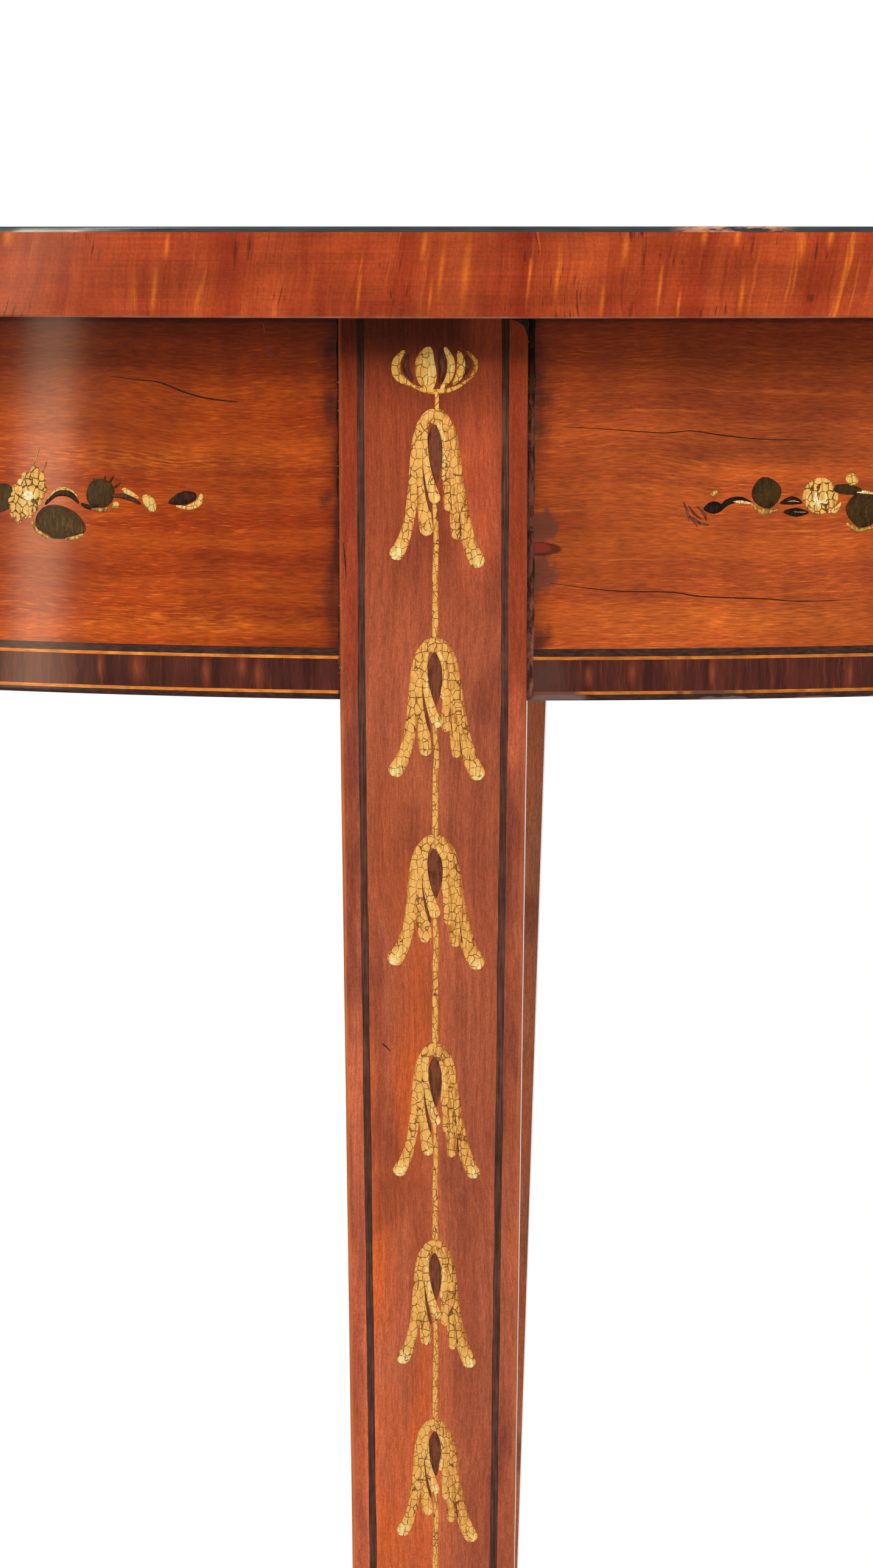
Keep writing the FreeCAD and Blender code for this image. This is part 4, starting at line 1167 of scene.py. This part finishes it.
def paint_berries(painting, middle, mirror, height, draw):
    """A cluster of round touches that run together, with one bright touch in the middle."""
    across, up, half_width, half_height, size, slant = LEFT_BERRIES
    rows = int(2 * half_height / size)
    for row in range(rows + 1):
        rise = -half_height + 2 * half_height * row / rows
        reach = half_width * math.sqrt(max(0.0, 1 - (rise / half_height) ** 2))
        count = max(1, round(2 * reach / size))
        for number in range(count):
            along = (number + 0.5 - count / 2) * size + draw.uniform(-0.2, 0.2) - slant * rise
            tone = 0.3 + 0.4 * (1 - math.hypot(along / half_width, rise / half_height) * 0.5)
            wide = size * draw.uniform(1.3, 1.6)
            painting.dab("berry", middle + mirror * (across + along), height + up + rise, wide, tone, wide)
    painting.dab("yellow", middle + mirror * (across + 0.2), height + up - 0.1, 2.6, 1.5, 2.2)


def make_trail(hand, side):
    """Sprays of leaves, berries and buds along the middle of one frieze panel."""
    painting = Painting(on_panel)
    draw = random.Random(side + 5)
    for number in range(SPRAY_COUNT):
        painting.layer = Painting.FIRST_LAYER
        first = (hand == "left") == (number % 2 == 0)
        mirror = 1 if number % 2 == 0 else -1
        middle = SPRAY_PLACES[hand] + side * SPRAY_SPAN * number
        height = TRAIL_HEIGHT + TRAIL_WANDER * math.sin(number * 2.3)
        for paint, line, widths, tones in LEFT_SPRAY if first else RIGHT_SPRAY:
            moved = [(middle + mirror * across, height + up) for across, up in line]
            painting.stroke(paint, moved, widths, tones)
        if first:
            paint_berries(painting, middle, mirror, height, draw)
    painting.finish(f"{hand}_trail", "satinwood")


for hand, side in SIDES:
    make_trail(hand, side)


# Wear, and grime with painted shadow beside the front leg. Cracks, scratches and smudges are flat strokes,
# drawn out at both ends.

FLAT = {"blunt": (False, False), "rise": 0.0}
# Grime in the joints by the front leg, which on the right also stands for the leg's painted shadow: the
# side, and its least and most width
JOINT_GRIME_AND_SHADOW = ((-1, 0.4, 0.9), (1, 1.7, 2.1))
GRIME_STEPS = 26
# Old cracks along the grain of both panels
PANEL_CRACKS = (
    (
        ((-71.5, 727.6), (-66, 727), (-60.5, 726.4), (-54.5, 724.2), (-49, 722.9), (-42.6, 722.3)),
        (0.12, 0.2, 0.28, 0.34, 0.3, 0.12),
    ),
    (
        ((25.5, 683.1), (39.2, 681.4), (52, 681), (58.9, 680), (73.3, 679.3), (80.3, 678.7), (94, 678.8)),
        (0.08, 0.18, 0.22, 0.26, 0.22, 0.18, 0.08),
    ),
    (
        ((28, 717.2), (38, 716.6), (49.8, 715.8), (56.1, 716.2), (62.3, 715.3), (71.8, 714.3), (84, 714)),
        (0.06, 0.14, 0.2, 0.18, 0.24, 0.16, 0.06),
    ),
)
# A smudge of thin brush marks on the right panel, and specks of dust on the left one
SMUDGE = (
    ((54.4, 700.9), (55.4, 698.9), (55.8, 696.5)),
    ((55.6, 700.1), (57, 698.1), (58.8, 696.9)),
    ((55, 698.5), (56.8, 696.7), (57.8, 695.1)),
    ((57.4, 699.9), (59, 698.3), (59.8, 696.5)),
    ((56.6, 697.5), (58.2, 696.1), (60.4, 695.7)),
)
DUST = (
    ((-36.2, 733.6), (-35.6, 732.8), (-35.2, 731.6)),
    ((-35.4, 733.2), (-34.8, 732.2)),
    ((-37.2, 739.4), (-37, 738.2), (-36.9, 737.2)),
    ((-25.2, 730.9), (-24.6, 730.3)),
)
# Two old scratches on the front leg, and dark marks round its upper right corner
SCRATCHES = (
    ((-11.6, 580.1), (-10.6, 579.4), (-9.4, 578.1)),
    ((-19.6, 692.4), (-19.2, 688.6), (-19, 684.6)),
)
DARK_CORNERS = (
    ((14.8, 740.6), (17.6, 740.4), (19.3, 739.8), (20.2, 738.6), (20.5, 736.6)),
    ((17.6, 740.8), (19.4, 740.5), (20.2, 739.9), (20.4, 739), (20.5, 738)),
)


def make_wear_and_shadow():
    draw = random.Random(17)
    painting = Painting(on_panel)
    low, tall = FRIEZE_LOW + 0.6, TOP_LOW - FRIEZE_LOW - 0.9
    heights = [low + tall * step / GRIME_STEPS for step in range(GRIME_STEPS + 1)]
    for side, least, most in JOINT_GRIME_AND_SHADOW:
        widths = [draw.uniform(least, most) for height in heights]
        line = [(side * (LEG_HALF + 0.05 + width * 0.25), height) for width, height in zip(widths, heights)]
        painting.stroke("grime_and_shadow", line, widths, rise=0.25)
    for line, widths in PANEL_CRACKS:
        painting.stroke("dark", line, widths, (0.2, 0.2), **FLAT)
    for line in SMUDGE:
        painting.stroke("dark", line, (0.2, 0.6, 0.2), (0.85, 0.95), **FLAT)
    for line in DUST:
        painting.stroke("dust", line, (0.1, 0.14), (0.0, 0.2), rise=0.02)
    painting.finish("frieze_wear_and_shadow", "satinwood")
    painting = Painting(front_place)
    for line in SCRATCHES:
        painting.stroke("dark", line, (0.1, 0.3, 0.1), (0.5, 0.5), **FLAT)
    for line in DARK_CORNERS:
        painting.stroke("dark", line, (0.2, 0.6, 1.0, 0.8, 0.3), (0.0, 0.0), **FLAT)
    painting.finish("leg_wear", "leg_satinwood")


make_wear_and_shadow()


# CAD nodes that keep their own shape, by their looks

NODE_LOOKS = {
    "pine": ("top_core", "corner_glue_blocks", "top_screw_blocks"),
    "pine_round": ("left_frieze_core", "right_frieze_core"),
    "oak_across": ("frieze_tenons", "back_rail"),
    "oak_deep": ("medial_brace",),
    "top_face": ("top_field_veneer",),
    "light_string": ("top_field_strings",),
    "back_band": ("top_back_crossband",),
    "rear_leg": ("rear_centre_leg",),
    "steel": ("top_screws", "rear_leg_screws"),
}
for look_name, node_names in NODE_LOOKS.items():
    for node_name in node_names:
        for material_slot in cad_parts[node_name].material_slots:
            material_slot.material = LOOKS[look_name]


# Stage: a floor, a world, lamps and a camera, in metres and degrees

FLOOR_HALF = 6.0
AMBIENT = 0.32
LAMP_AIM = Vector((0, -0.2, 0.68))
CAMERA_PLACE = (0.03488, -0.913, 0.758)
CAMERA_AZIMUTH = 2.79
CAMERA_ELEVATION = 9.64
CAMERA_LENS = 74.08


def make_stage():
    corners = [(x * FLOOR_HALF, y * FLOOR_HALF, 0) for x, y in ((-1, -1), (1, -1), (1, 1), (-1, 1))]
    mesh = bpy.data.meshes.new("stage_floor")
    mesh.from_pydata(corners, [], [(0, 1, 2, 3)])
    mesh.materials.append(LOOKS["floor"])
    floor = in_scene("stage_floor", mesh)


def make_world():
    """White for what the camera and reflections see, and a softer even light for the rest."""
    world = bpy.data.worlds.new("studio")
    bpy.context.scene.world = world
    nodes = Nodes(world)
    strength = nodes.add("ShaderNodeMapRange", {"Value": nodes.seen(), "To Min": AMBIENT, "To Max": 1.0})
    white = nodes.add("ShaderNodeBackground", {"Color": (1, 1, 1, 1), "Strength": strength})
    nodes.feed(nodes.tree.nodes.new("ShaderNodeOutputWorld"), "Surface", white)


def away(azimuth, elevation):
    """The direction from the table to a lamp or camera. The azimuth is from the front, towards the right."""
    turn, tilt = math.radians(azimuth), math.radians(elevation)
    return Vector((math.sin(turn) * math.cos(tilt), -math.cos(turn) * math.cos(tilt), math.sin(tilt)))


def make_lamp(name, azimuth, elevation, distance, size, power, tint=(1, 1, 1), sheen_only=True, roll=0):
    """A soft box aimed at the front leg's top. It either lights the table or only shows as a sheen on the
    polish. The roll turns it about its aim."""
    data = bpy.data.lights.new(name, "AREA")
    data.shape = "RECTANGLE"
    data.size, data.size_y = size
    data.energy = power
    data.color = tint
    lamp = in_scene(name, data)
    towards = away(azimuth, elevation)
    lamp.location = LAMP_AIM + towards * distance
    rolled = towards.to_track_quat("Z", "Y") @ Quaternion((0, 0, 1), math.radians(roll))
    lamp.rotation_euler = rolled.to_euler()
    lamp.visible_glossy = sheen_only
    lamp.visible_diffuse = not sheen_only


def make_camera():
    data = bpy.data.cameras.new("camera")
    data.sensor_width = 36.0
    data.lens = CAMERA_LENS
    data.clip_start, data.clip_end = 0.01, 50.0
    camera = in_scene("camera", data)
    camera.location = CAMERA_PLACE
    forward = -away(CAMERA_AZIMUTH, CAMERA_ELEVATION)
    camera.rotation_euler = forward.to_track_quat("-Z", "Y").to_euler()
    bpy.context.scene.camera = camera


make_stage()
make_world()
make_lamp("key", azimuth=4, elevation=48, distance=2.2, size=(1.1, 1.1), power=40, sheen_only=False)
make_lamp("window", -33.5, 0, 2.4, size=(0.15, 1.2), power=15.5, tint=(1.0, 0.66, 0.42), roll=-15)
make_lamp("skylight", -34, 42, 2.4, size=(0.3, 0.9), power=20, tint=(0.9, 0.95, 1.0))
make_camera()
bpy.context.scene.view_settings.view_transform = "Standard"
